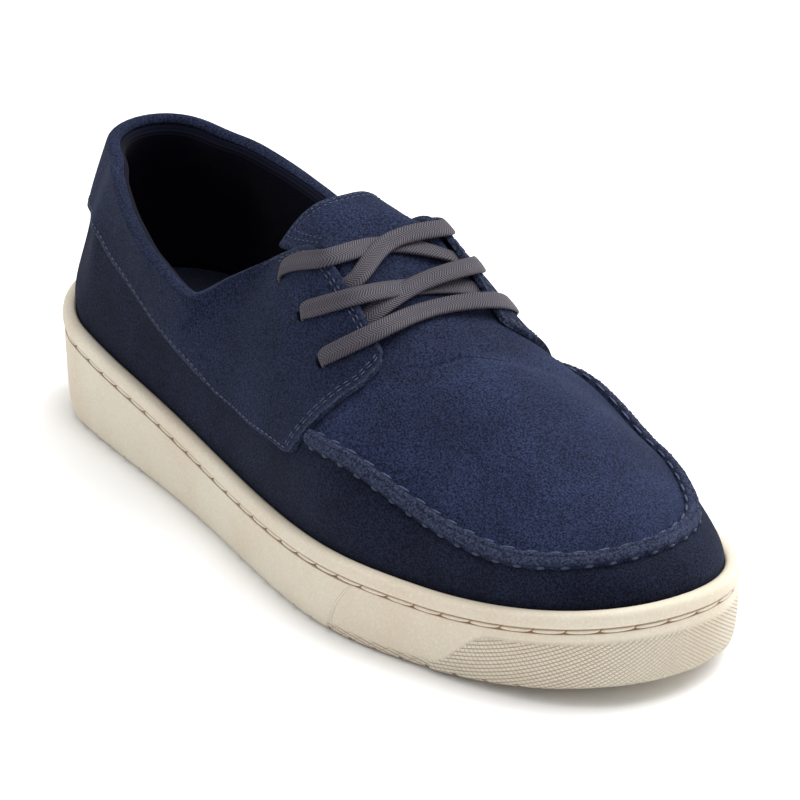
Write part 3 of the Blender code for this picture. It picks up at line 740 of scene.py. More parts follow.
def panelTable(side):
    columns, rows, folds = (panelPlan[key] for key in ("columns", "rows", "foldRows"))
    b = np.minimum(np.arange(rows + folds + 1) / rows, 1.0)[:, None]
    f = np.maximum(np.arange(rows + folds + 1) - rows, 0)[:, None] / folds
    a = np.linspace(0, 1, columns + 1)[None, :]
    lowest = panelPlan["band"][-1][1]
    edge = lowest + (panelPlan["top"] - lowest) * b
    round_ = panelPlan["corner"]
    above = np.clip(b * panelPlan["flapHigh"], 0, round_)
    frontFoot = flapFoot(edge) - round_ + np.sqrt(round_ ** 2 - (round_ - above) ** 2)
    front = turnOf(frontFoot, side)
    seam = turnOf(panelPlan["seamFoot"], 1) - 1.0
    if side < 0:
        turn = seam + (front - seam) * a
    else:
        back = turnOf(panelPlan["seamFoot"] + panelPlan["seamGap"], 1) - 1.0
        turn = (front - 1.0) + (back - front + 1.0) * a
    foot = footOf(turn)
    fold = 1 - smooth(foot, panelPlan["foldFrom"], panelPlan["foldTo"])
    low = bandLevel(foot)
    top = panelPlan["top"] + (0.999 - panelPlan["top"]) * fold
    level = low + (top - low) * b
    table = overUpper(turn, level, np.full(turn.shape, last["panelFace"]))
    normal = upperNormal(turn, level)
    small = 0.004
    up = unit(upperPoint(turn, 0.99) - upperPoint(turn, 0.99 - small))
    angle = np.radians(panelPlan["foldTurn"]) * f * (0.02 + 0.98 * fold)
    out = (panelPlan["foldWide"] * (np.cos(angle) - 1)) * fold
    rise = foldHigh(foot) * np.sin(angle) * (0.15 + 0.85 * fold)
    table = table + normal * out[..., None] + up * rise[..., None]
    reach = levelReach(turn, np.full(turn.shape, 0.6))
    fromLow = (level - low) * reach
    fromTop = np.where(fold > 0.5, np.inf, (panelPlan["top"] - level) * reach)
    flapEnd = np.abs(frontFoot - foot)
    cut = 1 - smooth(np.minimum(np.minimum(fromLow, fromTop), flapEnd), *panelPlan["cutEdge"])
    return table, cut


def punch(bm, holes, radius):
    # opens round holes in a grid and moves their rims onto circles
    for centre in holes:
        spot = Vector(((centre - origin) * mm).tolist())
        near = {v for v in bm.verts if (v.co - spot).length < radius * mm}
        gone = [f for f in bm.faces if all(v in near for v in f.verts)]
        border = {v for f in gone for v in f.verts if any(g not in gone for g in v.link_faces)}
        bmesh.ops.delete(bm, geom=gone, context="FACES")
        for v in border:
            if v.is_valid:
                v.co = spot + (v.co - spot).normalized() * radius * mm


def makePanel(name, side, node):
    table, cut = panelTable(side)
    panel = layGrid(name, table, marks={"cut": cut}, weld=False)
    bm = bmesh.new()
    bm.from_mesh(panel.data)
    holes = [overUpper(turnOf(foot, side), np.array(level), last["panelFace"])
             for foot, level in panelPlan["holes"]]
    punch(bm, holes, panelPlan["holeRadius"])
    bm.to_mesh(panel.data)
    bm.free()
    wallOf(panel, last["panelWall"])
    roundOff(panel, 0.4)
    return dress(panel, navyPanel, [node])


makePanel("flap_band_outer", -1, "side_panel_lateral")
makePanel("flap_band_inner", 1, "side_panel_medial")


# Lining and footbed
liningPlan = {
    "reach": 186.0, "columns": 260, "rows": 60, "slack": 0.6, "wall": 0.4, "clothAround": 700.0,
    # distance from the collar's edge, thickness of the pad
    "pad": ((0, 0.4), (0.8, 1.7), (2.5, 2.7), (8, 2.5), (18, 1.1), (30, 0.35), (80, 0.3)),
    # share of the rows, level
    "levels": ((0.05, 0.0), (0.75, 0.93), (1.0, 0.999)),
    # height of the lowest rows over the footbed
    "lifts": (0.2, 2.5, 5.0),
}
bedPlan = {
    "around": 360, "across": 24, "slack": 0.4, "dish": 1.6, "dishHeel": (0, 20), "dishToe": (280, 300),
    # share of the thickness, inset of the rounded side
    "profile": ((0.0, 0.3), (0.25, 0.0), (0.8, 0.0), (0.93, 0.25), (1.0, 0.9)),
}
padThick = calmCurve(liningPlan["pad"], 1)


def makeLining():
    end = turnOf(liningPlan["reach"], -1)
    turn = np.linspace(-end, end, liningPlan["columns"] + 1)[None, :]
    share = np.linspace(0, 1, liningPlan["rows"] + 1)[:, None]
    shares, levels = np.array(liningPlan["levels"]).T
    level = np.interp(share, shares, levels)
    deep = (levels[-1] - level) * levelReach(turn, np.full(turn.shape, 0.75))
    table = overUpper(turn, level, -(last["upperWall"] + padThick(deep)))
    foot = footOf(turn[0])
    inset = last["lipInset"] + gap + last["upperWall"] + liningPlan["slack"]
    for row, lift in enumerate(liningPlan["lifts"]):
        table[row] = levelPoint(turn[0], inset, bedFloor(foot) + bedThick(foot) + lift)
    lining = layGrid("collar_lining", table, "cloth", (turn * liningPlan["clothAround"], deep), flip=True)
    wallOf(lining, liningPlan["wall"])
    return dress(lining, navyLining)


def makeFootbed():
    inset = last["lipInset"] + gap + last["upperWall"] + bedPlan["slack"]
    around = np.linspace(0, 1, bedPlan["around"] + 1)
    half = bedPlan["around"] // 2 + 1
    foot = footOf(around)
    side = np.stack([levelPoint(around, inset + extra, bedFloor(foot) + gap + lift * bedThick(foot))
                     for lift, extra in bedPlan["profile"]])
    parts = [layGrid("bedSide", side)]
    across = np.linspace(0, 1, bedPlan["across"] + 1)[:, None, None]
    for row, flip in ((0, True), (-1, False)):
        ring = side[row]
        cap = ring[None, :half] * (1 - across) + ring[None, ::-1][:, :half] * across
        if not flip:
            x = cap[..., 0]
            width = np.abs(across[..., 0] * 2 - 1)
            dish = smooth(x, *bedPlan["dishHeel"]) * (1 - smooth(x, *bedPlan["dishToe"]))
            cap[..., 2] -= bedPlan["dish"] * (1 - width ** 2) * dish
        parts.append(layGrid("bedCap", cap, flip=flip))
    return dress(joined("footbed", parts), footbed, ["insole"])


makeLining()
makeFootbed()


# Tongue: it runs on from the plug, under the flaps and the lace, and ends in a round tip
tonguePlan = {
    # x, height of the middle
    "middle": ((120, 108.0), (127, 106.0), (137, 103.2), (150, 99.3), (160, 93.0), (172, 85.8),
               (181, 80.4), (190, 76.2), (203, 72.1)),
    # x, how far the free sides drop
    "drop": ((120, 16.5), (127, 15.8), (137, 12.5), (146, 8.4), (160, 6.0)),
    # x, how flat the middle is
    "flat": ((127, 2.9), (160, 2.8), (172, 2.6), (190, 2.2), (203, 2.0)),
    "tip": 137.0, "cornerBack": 9.5, "cornerTo": 152.0, "cornerShare": 0.953,
    "half": 19.6, "centre": -0.9, "wall": 3.0, "round": 1.7, "dropHalf": 19.0, "dropPower": 2.9,
    # x where the flaps take hold of it, foot where it comes onto the plug
    "held": (142.0, 154.0), "toPlug": (186.0, 197.0),
    "underFlap": -1.2, "onPlug": 0.16, "sink": 0.7, "sideDepth": 0.10, "plugDepth": 0.22,
    # rows from the tip: close ones round its rim, even ones, and the last ones on the plug
    "rim": 2.4, "even": 63.0, "onPlugRows": (63.4, 65.8), "thinner": (182.0, 192.0), "cutEdge": (0.4, 1.8),
}
tongueZ, tongueDrop, tongueFlat = (calmCurve(tonguePlan[key], 1) for key in ("middle", "drop", "flat"))
throatFeet = np.linspace(118.0, last["ridgeStart"], 400)
throatXs = topX(throatFeet)


def tonguePoint(x, q):
    # x where the row crosses the middle, q across from edge to edge, beyond 1 under the flaps
    x, q = np.broadcast_arrays(np.asarray(x, float), np.asarray(q, float))
    side = np.where(q < 0, -1.0, 1.0)
    foot = np.interp(x, throatXs, throatFeet)
    turn = np.where(side < 0, turnOf(foot, -1), turnOf(foot, 1))
    onPlug = smooth(foot, *tonguePlan["toPlug"])
    height = tonguePlan["underFlap"] + (tonguePlan["onPlug"] - tonguePlan["underFlap"]) * onPlug
    held = smooth(x, *tonguePlan["held"])
    edge = overUpper(turn, np.ones(turn.shape), height)
    a = np.minimum(np.abs(q), 1.0)
    freeY = tonguePlan["centre"] * (1 - held) + side * a * tonguePlan["half"]
    corner = 1 - smooth(x, tonguePlan["tip"], tonguePlan["cornerTo"])
    freeX = x - tonguePlan["cornerBack"] * corner * (1 - np.sqrt(1 - (a * tonguePlan["cornerShare"]) ** 2))
    aside = a * tonguePlan["half"] / tonguePlan["dropHalf"]
    freeZ = tongueZ(freeX) - tongueDrop(freeX) * aside ** tonguePlan["dropPower"]
    free = np.stack((freeX, freeY, freeZ), axis=-1)
    middleY = topCentre(foot)
    heldY = middleY + (edge[..., 1] - middleY) * a
    heldZ = tongueZ(x) - (tongueZ(x) - edge[..., 2]) * a ** tongueFlat(x)
    heldPoint = np.stack((edge[..., 0] * a + x * (1 - a), heldY, heldZ), axis=-1)
    point = free * (1 - held[..., None]) + heldPoint * held[..., None]
    beyond = np.clip(np.abs(q) - 1.0, 0, None)
    depth = (tonguePlan["sideDepth"] + (tonguePlan["plugDepth"] - tonguePlan["sideDepth"]) * onPlug) * held
    sunk = height - tonguePlan["sink"] * onPlug * smooth(beyond, 0.3, 1.0)
    aside = overUpper(turn, 1 - depth * beyond, sunk) - overUpper(turn, np.ones(turn.shape), height)
    return point + aside * (beyond > 0)[..., None]


def tongueNormal(x, q, small=0.4):
    down = tonguePoint(x + small, q) - tonguePoint(x - small, q)
    across = tonguePoint(x, q + 0.03) - tonguePoint(x, q - 0.03)
    return unit(np.cross(down, across))


def roundRim(distance):
    # share of the thickness that is left near a round rim
    reach = tonguePlan["round"]
    return np.clip(1 - (1 - np.clip(distance / reach, 0, 1)) ** 2.6, 0, 1) ** 0.45


def makeTongue():
    tip = tonguePlan["tip"]
    quarter = np.linspace(0, math.pi / 2, 12)[:-1]
    rim = tonguePlan["rim"]
    rows = tip + np.concatenate((rim * (1 - np.cos(quarter)), np.linspace(rim, tonguePlan["even"], 110),
                                 np.linspace(*tonguePlan["onPlugRows"], 8)))
    half = np.concatenate((np.linspace(0, 0.9, 34)[:-1], 0.9 + 0.1 * np.sin(np.linspace(0, math.pi / 2, 9)),
                           1 + np.linspace(0, 1, 15)[1:]))
    q = np.concatenate((-half[:0:-1], half))
    x, q = rows[None, :], q[:, None]
    point = tonguePoint(x, q)
    down = np.gradient(point, rows, axis=1)
    across = np.gradient(point, axis=0)
    normal = np.cross(down, across)
    thin = np.linalg.norm(normal, axis=-1) < 1e-5
    foot = np.interp(x, throatXs, throatFeet)
    fallback = upperNormal(turnOf(foot, -1), np.full(x.shape, 0.97)) + np.zeros(point.shape)
    normal = np.where(thin[..., None], fallback, unit(normal))
    held = smooth(x, *tonguePlan["held"])
    fromTip = (x - tip) + np.zeros(q.shape)
    fromSide = (1 - np.minimum(np.abs(q), 1)) * tonguePlan["half"] + 9.0 * held
    whole = roundRim(np.minimum(fromTip, fromSide))
    thick = (whole * tonguePlan["wall"] * (1 - 0.8 * smooth(x, *tonguePlan["thinner"])))[..., None]
    sunk = (1 - whole[..., None]) * tonguePlan["wall"] / 2
    edge = 1 - smooth(np.minimum(fromTip, fromSide), *tonguePlan["cutEdge"])
    face = point - normal * sunk
    parts = [layGrid("tongueFace", face, marks={"cut": edge}),
             layGrid("tongueBack", face - normal * thick, marks={"cut": edge}, flip=True)]
    return dress(joined("tongue_pad", parts), navyTongue, ["tongue"])


makeTongue()


# Raised seam of the toe: two cut edges side by side, gathered on the outside
ridgePlan = {
    "outerStart": 187.0, "innerStart": 182.5, "pitch": 6.8, "scallop": 0.5, "columns": 1000,
    "gather": (228.0, 242.0), "endRound": 2.2, "waves": ((0.18, 9.1, 0.0), (0.12, 3.7, 1.0)),
    # how far the ridge stands towards the middle from the line of the seam: at the sides, in front
    "inside": (2.1, 1.3), "insideFoot": (236.0, 276.0),
    # how much later the threads start than the ridge, off towards the middle, height
    "dashes": (3.0, 2.1, 1.0), "beads": (2.0, -2.75, 0.9),
    # towards the middle of the toe, height
    "profile": ((-2.9, -1.2), (-2.8, 0.4), (-2.6, 1.2), (-2.3, 1.7), (-2.05, 2.1), (-1.7, 2.5), (-1.1, 2.7),
                (-0.5, 2.65), (-0.15, 2.5), (0.05, 2.3), (0.25, 2.45), (0.6, 2.55), (1.1, 2.45), (1.5, 2.15),
                (1.8, 1.6), (2.0, 0.9), (2.15, 0.2), (2.3, -1.3), (0.0, -1.6), (-2.9, -1.2)),
}


def seamTrail(later=0.0):
    turn = np.linspace(turnOf(ridgePlan["outerStart"] + later, -1),
                       turnOf(ridgePlan["innerStart"] + later, 1), 900)
    level = np.full(turn.shape, last["seamLevel"])
    trail = Trail(upperPoint(turn, level), upperNormal(turn, level))
    trail.feet = footOf(turn)
    return trail


def ridgeInside(trail, s):
    atSide, inFront = ridgePlan["inside"]
    foot = np.interp(s, trail.gone, trail.feet)
    return atSide + (inFront - atSide) * smooth(foot, *ridgePlan["insideFoot"])


def makeRidge():
    trail = seamTrail()
    s = np.linspace(0, trail.length, ridgePlan["columns"] + 1)
    point, along, side, normal = trail.frame(s)
    count = round(trail.length / ridgePlan["pitch"])
    phase = s * count / trail.length
    bulge = np.sqrt(np.clip(1 - (2 * np.mod(phase, 1.0) - 1) ** 2, 0, 1))
    gathered = smooth(np.interp(s, trail.gone, trail.feet), *ridgePlan["gather"])
    bulge = 0.5 + (bulge - 0.5) * gathered
    ends = np.clip(np.minimum(s, trail.length - s) / ridgePlan["endRound"], 0, 1)
    ends = np.sqrt(np.clip(1 - (1 - ends) ** 2, 0.0, 1))
    offs, highs = np.array(ridgePlan["profile"]).T
    outside = np.clip((-1.9 - offs) / 0.6, 0, 1)[:, None]
    off = offs[:, None] - outside * (bulge - 0.45)[None, :] * ridgePlan["scallop"]
    high = highs[:, None] + outside * (bulge - 0.5)[None, :] * 0.35
    rough = dice.normal(0, 1, off.shape)
    rough[-1] = rough[0]
    rough = (rough + np.roll(rough, 1, 1) + np.roll(rough, -1, 1)) / 3
    raw = smooth(highs, 1.2, 2.2)[:, None]
    wave = sum(size * np.sin(s / long + start) for size, long, start in ridgePlan["waves"])
    off = off * (0.5 + 0.5 * ends[None, :]) + wave[None, :] * raw + 0.12 * rough * raw
    off = off + ridgeInside(trail, s)[None, :]
    high = np.where(high > 0, high * ends[None, :], high) + (0.17 * rough + 0.12 * wave[None, :]) * raw
    table = point[None] + side[None] * off[..., None] + normal[None] * high[..., None]
    ridge = layGrid("toe_seam", table, marks={"cut": np.broadcast_to(raw, off.shape)})
    closeHoles(ridge)
    return dress(ridge, navyRidge)


makeRidge()


def besideRidge(later, off, high):
    # a line that keeps its distance from the ridge
    trail = seamTrail(later)
    s = np.linspace(0, trail.length, 700)
    point, along, side, normal = trail.frame(s)
    return Trail(point + side * (off + ridgeInside(trail, s))[:, None] + normal * high, normal)


# Dashes lie just inside the ridge, and beads show outside where the thread dips into the guard
stitches("seam_thread", [besideRidge(*ridgePlan["dashes"])], blueThread,
         length=4.4, pitch=ridgePlan["pitch"], width=0.9, slant=0.10)
stitches("seam_beads", [besideRidge(*ridgePlan["beads"])], darkThread,
         length=2.6, pitch=ridgePlan["pitch"], width=1.3)


# Rows of stitches on the flaps, the band and the tongue, in from their edges
rowPlan = {"flap": (2.4, 3.6), "band": 1.7, "tongue": (1.7, 3.0), "bandEnd": 181.0, "topFeet": (131.0, 188.0),
           "flapLevels": (0.42, 0.95), "tongueLong": 12.0}


def panelRow(side, feet, levels, height=0.1):
    turn = turnOf(np.array(feet, float), side)
    level = np.array(levels, float)
    if side > 0:
        turn = turn - 1.0
    return Trail(overUpper(turn, level, np.full(turn.shape, last["panelFace"] + height)),
                 upperNormal(turn, level))


def edgeRows(side):
    rows = []
    for inset in rowPlan["flap"]:
        level = np.linspace(*rowPlan["flapLevels"], 60)
        rows.append(panelRow(side, flapFoot(level) - inset * 1.15, level))
        foot = np.linspace(*rowPlan["topFeet"], 80)
        reach = levelReach(turnOf(foot, side), np.full(foot.shape, 0.9))
        rows.append(panelRow(side, foot, panelPlan["top"] - inset / reach))
    foot = np.linspace(4.0 if side < 0 else panelPlan["seamFoot"] + 3, rowPlan["bandEnd"], 220)
    reach = levelReach(turnOf(foot, side), np.full(foot.shape, 0.6))
    rows.append(panelRow(side, foot, bandLevel(foot) + rowPlan["band"] / reach))
    return rows


stitches("flap_stitches", edgeRows(-1) + edgeRows(1), navyThread, length=1.9, pitch=2.8, width=0.42)


def tongueRows():
    rows = []
    for inset in rowPlan["tongue"]:
        edge = 1 - inset / tonguePlan["half"]
        down = np.linspace(tonguePlan["tip"] + rowPlan["tongueLong"], tonguePlan["tip"] + inset, 40)
        across = np.linspace(-edge, edge, 90)
        x = np.concatenate((down[:-1], np.full(across.shape, down[-1]), down[-2::-1]))
        q = np.concatenate((np.full(39, -edge), across, np.full(39, edge)))
        rows.append(Trail(tonguePoint(x, q), tongueNormal(x, q)))
    return rows


stitches("tongue_stitches", tongueRows(), navyThread, length=1.2, pitch=1.9, width=0.36)


# Lace: one flat braid through the six holes
laceLine = {"overPanel": 0.85, "under": -3.4, "leave": -0.35, "leaveIn": 1.0, "steps": 900, "ring": 20,
            # foot at the flaps' edges, x of the middle, height over the tongue
            "bar": (185.5, 182.5, 1.5),
            # foot where a run comes out, foot of the edge it crosses, x where the two cross
            "runs": ((179.5, 173.0, 174.5), (166.5, 154.5, 160.0)), "low": 0.95, "high": 2.45}


def tongueOver(x, height):
    slope = (tongueZ(x + 1) - tongueZ(x - 1)) / 2
    normal = unit(np.array([-slope, 0.0, 1.0]))
    return np.array([x, topCentre(np.interp(x, throatXs, throatFeet)), tongueZ(x)]) + normal * height, normal


def over(foot, side, level, height):
    turn = turnOf(foot, side)
    return overUpper(turn, np.array(float(level)), height), upperNormal(turn, np.array(float(level)))


def holeEnd(index, side, inner):
    # over the flap towards the hole, then down through it
    foot, level = panelPlan["holes"][index]
    face = last["panelFace"]
    reach = levelReach(turnOf(foot, side), np.array(level))
    ahead = 3.4 / reach
    return [(*over(foot + inner * 0.2, side, level + ahead, face + laceLine["overPanel"]), 6.0),
            (*over(foot, side, level + 0.6 / reach, face + 0.2), 5.0),
            (*over(foot, side, level - 0.6 / reach, -1.2), 4.4),
            (*over(foot, side, level + 1.5 / reach, laceLine["under"]), 4.6)]


def crossing(index, side, height):
    # from under one flap out of the throat and over to the next hole across
    leave, edge, middle = laceLine["runs"][index]
    start = over(leave, side, 1.0, laceLine["leave"])
    start = (start[0] + np.array([0.0, -side * laceLine["leaveIn"], 0.0]), start[1], 6.0)
    foot = panelPlan["holes"][index][0]
    below = (*over(0.5 * (leave + foot), side, 0.92, laceLine["under"] * 0.5), 5.6)
    arrive = (*over(edge, -side, 0.98, last["panelFace"] + laceLine["overPanel"]), 6.0)
    nextFoot = panelPlan["holes"][index + 1][0]
    places = [below, start, (*tongueOver(middle, height), 6.0), arrive]
    return places + holeEnd(index + 1, -side, edge - nextFoot)


def barRoute():
    edge, middle, height = laceLine["bar"]
    face = last["panelFace"] + laceLine["overPanel"]
    across = [(*over(edge, -1, 0.98, face), 6.0), (*tongueOver(middle, height), 6.0),
              (*over(edge, 1, 0.98, face), 6.0)]
    ahead = edge - panelPlan["holes"][0][0]
    return holeEnd(0, -1, ahead)[::-1] + across + holeEnd(0, 1, ahead)


def withWidths(route):
    # each place of a route with the direction of the lace's width
    points = np.array([place[0] for place in route])
    normals = np.array([place[1] for place in route])
    ways = unit(np.gradient(points, axis=0))
    across = unit(np.cross(normals, ways))
    tops = [i for i, place in enumerate(route) if place[2] >= 6.0]
    for i in range(len(route)):
        if route[i][2] < 5.5:
            across[i] = across[min(tops, key=lambda k: abs(k - i))]
    return points, across, np.array([place[2] for place in route])


def makeLace():
    parts = [withWidths(crossing(1, 1, laceLine["low"])), withWidths(crossing(0, -1, laceLine["high"])),
             withWidths(barRoute()),
             withWidths(crossing(0, 1, laceLine["low"])), withWidths(crossing(1, -1, laceLine["high"]))]
    for k in (0, 1):
        parts[k] = tuple(values[::-1] for values in parts[k])
    points, across, widths = parts[0]
    for nextPoints, nextAcross, nextWidths in parts[1:]:
        flip = -1.0 if np.dot(across[-1], nextAcross[0]) < 0 else 1.0
        if np.linalg.norm(points[-1] - nextPoints[0]) < 0.5:
            nextPoints, nextAcross, nextWidths = nextPoints[1:], nextAcross[1:], nextWidths[1:]
        points = np.concatenate((points, nextPoints))
        across = np.concatenate((across, nextAcross * flip))
        widths = np.concatenate((widths, nextWidths))
    gone = lengths(points, 0.75)
    curves = [softCurve(gone, points[:, k]) for k in range(3)]
    t = np.linspace(0, gone[-1], laceLine["steps"] + 1)
    line = np.stack([curve(t) for curve in curves], axis=-1)
    sides = np.stack([np.interp(t, gone, across[:, k]) for k in range(3)], axis=-1)
    width = np.interp(t, gone, widths)
    ways = unit(np.gradient(line, axis=0))
    sides = unit(sides - ways * np.sum(sides * ways, axis=1)[:, None])
    faces = np.cross(ways, sides)
    length = lengths(line)
    round_ = np.linspace(0, 2 * math.pi, laceLine["ring"] + 1)
    wide = np.sign(np.cos(round_)) * np.abs(np.cos(round_)) ** 0.75
    thick = np.sign(np.sin(round_)) * np.abs(np.sin(round_)) ** 0.6
    table = (line[None] + sides[None] * (wide[:, None] * width[None, :] / 2)[..., None]
             + faces[None] * (thick[:, None] * np.full(width.shape, lacing["thick"] / 2))[..., None])
    lace = layGrid("lace", table, "braid", (length[None, :], (wide[:, None] + 1) / 2))
    closeHoles(lace)
    print("lace length, millimetres:", round(float(length[-1])))
    return dress(lace, greyLace, ["lace_bar", "lace_cross_lower", "lace_cross_upper"])


makeLace()


# Cup sole: side wall with its lip, the bumper, the strip of fine tread, and channels underneath
cup = {
    "wall": ((0.00, 2.6), (0.06, 1.6), (0.45, 0.5), (0.90, 0.1), (1.00, 0.0)),
    "bumperFoot": (246.0, 266.0), "bumperUnder": 3.0, "bumperRise": 0.7, "stripHeight": 3.4,
    # foot of the step at the floor and at the groove
    "step": (205.0, 218.0), "stepDepth": 0.35,
    # foot of the first, distance, count
    "channels": ((18.0, 10.0, 7), (150.0, 9.5, 14)),
    "channelWidth": 1.3, "channelDepth": 1.2, "channelSides": (-0.1, 0.15),
    "toothPitch": 1.2, "toothHigh": 0.45, "toothMark": 0.6, "across": 26,
    # lip from the inside of its roll on: drop from the rim, inset, share of brown painted shade
    "lip": ((2.9, -0.1, 0.0), (2.1, 0.0, 0.0), (1.3, 0.15, 0.0), (0.6, 0.55, 0.0), (0.2, 1.1, 0.0),
            (0.0, 1.8, 0.0), (0.0, 2.8, 0.0), (0.15, 3.6, 0.1), (0.5, 4.25, 0.5), (1.5, 4.35, 0.6),
            (4.0, 4.35, 0.0)),
    "inside": 0.3, "under": 0.6,
}
wallInset = calmCurve(cup["wall"], 1)


def channelFeet():
    return np.array([first + i * apart for first, apart, count in cup["channels"] for i in range(count)])


def channelMask(x):
    half = cup["channelWidth"] / 2
    nearest = np.abs(np.asarray(x)[..., None] - channelFeet()).min(axis=-1)
    return 1 - smooth(nearest, *[half + side for side in cup["channelSides"]])


def cupStations():
    # places round the outer half of the cup, two to a tooth and more at each channel, with the teeth
    half = cup["channelWidth"] / 2
    sides = np.array([sign * (half + side) for sign in (-1, 1) for side in cup["channelSides"]])
    fine = np.linspace(0, 0.5, 4001)
    gone = lengths(soleEdge(fine))
    teeth = round(gone[-1] / cup["toothPitch"])
    even = np.interp(np.linspace(0, gone[-1], teeth * 2 + 1), gone, fine)
    one = np.unique(np.concatenate((even, turnOf(channelFeet()[:, None] + sides, -1).ravel())))
    tooth = 1 - np.abs(2 * np.mod(np.interp(one, fine, gone) * teeth / gone[-1], 1.0) - 1)
    return one, cup["toothHigh"] * tooth


def makeCupsole():
    one, tooth = cupStations()
    turn = np.concatenate((one, 1 - one[-2::-1]))
    tooth = np.concatenate((tooth, tooth[-2::-1]))
    foot = footOf(turn)
    band, high, deep = last["lipBand"], last["grooveHeight"], last["grooveDepth"]
    rimZ = soleRim(foot)
    groove = rimZ - band - high
    base = spring(foot)
    rows, marks = [], {key: [] for key in ("tread", "strip", "teeth", "crevice", "side")}

    def addRow(inset, z, **values):
        rows.append(levelPoint(turn, inset, z))
        for key, row in marks.items():
            row.append(np.broadcast_to(values.get(key, 0.0), turn.shape))

    start = cup["bumperFoot"][0]
    stripTop = base + cup["stripHeight"]
    bumperTop = stripTop + (groove - cup["bumperUnder"] - stripTop) * smooth(foot, *cup["bumperFoot"])
    channel = channelMask(foot)
    # on the side wall the channels' notches near the floor get brown painted shade
    for share in np.concatenate(([0, 0.02, 0.05, 0.09], np.linspace(0.13, 0.97, 30), [1.0])):
        z = base + share * (groove - base)
        onBumper = smooth(bumperTop - z, -0.3, 0.3) * smooth(foot, start - 1, start + 1)
        stepFoot = cup["step"][0] + (cup["step"][1] - cup["step"][0]) * share
        behind = 1 - smooth(foot, stepFoot - 0.5, stepFoot + 0.5)
        inset = wallInset(share) + cup["bumperRise"] * (1 - onBumper)
        inset = inset - cup["stepDepth"] * behind * smooth(share, 0, 0.1)
        lifted = np.maximum(z, base + cup["channelDepth"] * channel) + tooth * (1 - smooth(share, 0.0, 0.04))
        addRow(inset, lifted, tread=onBumper, side=1.0,
               strip=(1 - behind) * smooth(stripTop - z, -0.2, 0.2) * (1 - onBumper),
               teeth=smooth(base + cup["toothMark"] - z, 0, 0.2),
               crevice=0.85 * channel * smooth(base + cup["channelDepth"] + 0.3 - z, 0, 0.3))
    # the groove behind the links, the inside of the lip's roll where it meets the upper, and the inside of
    # the cup get brown painted shade
    grooveRows = ((band + high - 0.25, deep * 0.8, 1.0), (band + high - 0.45, deep, 1.0),
                  (band + 0.45, deep, 1.0), (band + 0.2, deep * 0.8, 1.0), (band, 0.25, 0.5),
                  (band - 0.3, 0.05, 0.0), (band - 0.8, -0.05, 0.0))
    for drop, inset, shadeShare in grooveRows + cup["lip"]:
        addRow(inset, rimZ - drop, crevice=shadeShare)
    addRow(last["lipInset"], bedFloor(foot), crevice=cup["inside"])
    table = np.stack(rows)
    along = lengths(levelPoint(turn, 0.5, 8.0))
    fromHeel = np.minimum(along, along[-1] - along)
    count = len(one)
    ahead = fromHeel - np.interp(start, foot[:count], fromHeel[:count])
    marks = {key: np.stack(values) for key, values in marks.items()}
    parts = [layGrid("cupSide", table, "wall", (ahead[None, :], table[..., 2]), marks)]
    for row, flip, across in ((0, True, cup["across"]), (-1, False, 2)):
        ring = table[row]
        share = np.linspace(0, 1, across + 1)[:, None, None]
        cap = ring[None, :count] * (1 - share) + ring[None, ::-1][:, :count] * share
        marksHere = {key: 0.0 for key in marks}
        # the underside's channels get brown painted shade too
        if flip:
            x = cap[..., 0]
            inner = np.minimum(share[..., 0], 1 - share[..., 0]) > 0
            cap[..., 2] = np.where(inner, spring(x) + cup["channelDepth"] * channelMask(x), cap[..., 2])
            marksHere = {**marksHere, "strip": cup["under"], "crevice": channelMask(x) * 0.5}
        parts.append(layGrid("cupCap", cap, "wall", (cap[..., 0], cap[..., 1]), marksHere, flip=flip))
    return dress(joined("cup", parts), creamRubber, ["cupsole"])


makeCupsole()


# Moulded links in the groove of the cup
chain = {
    "pitch": 9.8, "half": 0.76, "height": 0.75, "slant": 0.9, "lens": 0.10, "along": 18, "across": 6,
    # half a link's share of the pitch, width of its straighter side, depth in the groove, painted shade at
    # its rim
    "long": 0.485, "straight": 0.85, "sink": 0.1, "shadeShare": 0.55,
}


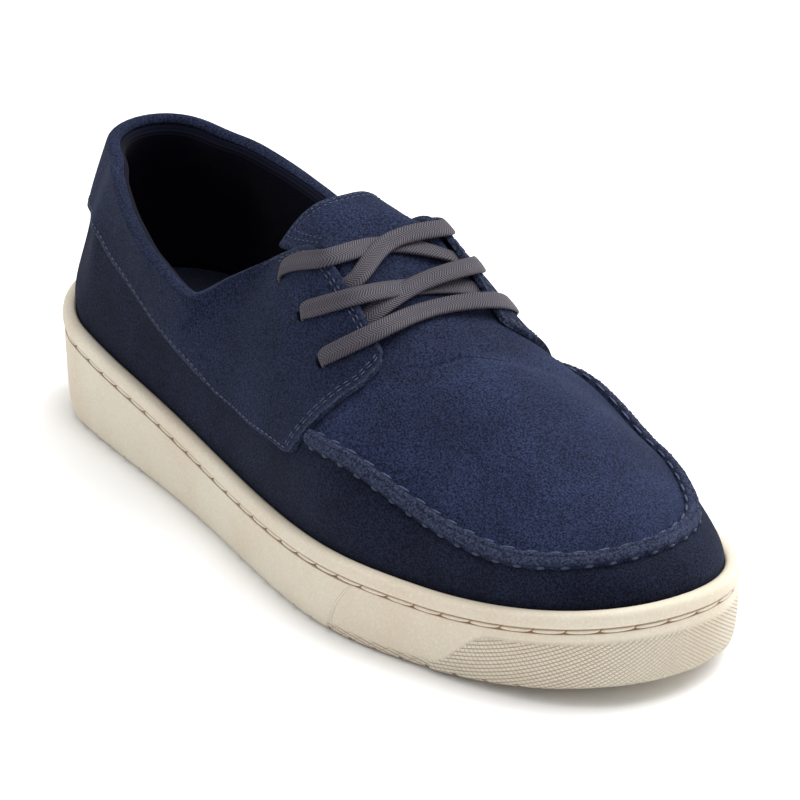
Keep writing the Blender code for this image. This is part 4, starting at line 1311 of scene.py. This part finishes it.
def makeChain():
    turn = np.linspace(0, 1, 1601)
    foot = footOf(turn)
    z = soleRim(foot) - last["lipBand"] - last["grooveHeight"] / 2
    trail = Trail(levelPoint(turn, last["grooveDepth"], z), -inwards(turn))
    count = round(trail.length / chain["pitch"])
    pitch = trail.length / count
    u = np.linspace(-1, 1, chain["along"] + 1)[None, :]
    u = np.sign(u) * (1 - (1 - np.abs(u)) ** 1.6)
    v = np.linspace(-1, 1, chain["across"] + 1)[:, None]
    end = np.clip(1 - np.abs(u) ** 12, 0, 1) ** 0.5
    bowed = chain["lens"] + (1 - chain["lens"]) * np.clip(1 - u * u, 0, 1) ** 0.7
    lens = np.where(v < 0, bowed, chain["straight"])
    w = v * chain["half"] * lens * (0.25 + 0.75 * end)
    dome = np.clip(1 - np.abs(v) ** 4, 0, 1) ** 0.5 * end * chain["height"] - chain["sink"]
    parts = []
    for k in range(count):
        s = (k + 0.5 + u * chain["long"]) * pitch + w * chain["slant"]
        s, up, out = np.broadcast_arrays(s, w, dome)
        point, _, _, normal = trail.frame(np.mod(s, trail.length))
        table = point + np.array([0, 0, 1.0]) * up[..., None] + normal * out[..., None]
        # each link's rim is painted darker, in peach, as shade where it meets the groove
        rim = np.broadcast_to(chain["shadeShare"] * np.abs(v) ** 5, s.shape)
        parts.append(layGrid("link", table, "wall", (s, up), {"groove": rim}, weld=False))
    return dress(joined("groove_links", parts, 0.000001), creamRubber)


makeChain()


# Floor, world and lights
studio = {
    "floor": (0.97, 0.97, 0.97), "floorSize": 6.0, "floorDrop": 0.0002, "world": 0.68,
    # place, size and power of each lamp
    "lamps": {"overhead": ((0.15, 0.45, 1.4), 1.4, 25.0), "side": ((-0.9, -1.2, 0.9), 0.9, 4.0),
              "behind": ((0.1, 1.5, 0.8), 1.0, 14.0)},
}


def makeStudio():
    bm = bmesh.new()
    bmesh.ops.create_grid(bm, x_segments=2, y_segments=2, size=studio["floorSize"])
    floor = pieceOf("floor", bm)
    floor.location.z = -studio["floorDrop"]
    floor.data.materials.append(Finish("floor").set(colour=rgb(studio["floor"]), rough=0.9, shine=0.1))
    world = bpy.data.worlds.new("studio")
    bpy.context.scene.world = world
    world.use_nodes = True
    background = world.node_tree.nodes["Background"].inputs
    background["Color"].default_value = rgb((1.0, 1.0, 1.0))
    background["Strength"].default_value = studio["world"]
    for name, (place, size, power) in studio["lamps"].items():
        data = bpy.data.lights.new(name, "AREA")
        data.size = size
        data.energy = power
        lamp = linked(name, data)
        lamp.location = place
        lamp.rotation_euler = (-Vector(place)).to_track_quat("-Z", "Y").to_euler()
    bpy.context.scene.view_settings.view_transform = "Standard"


makeStudio()
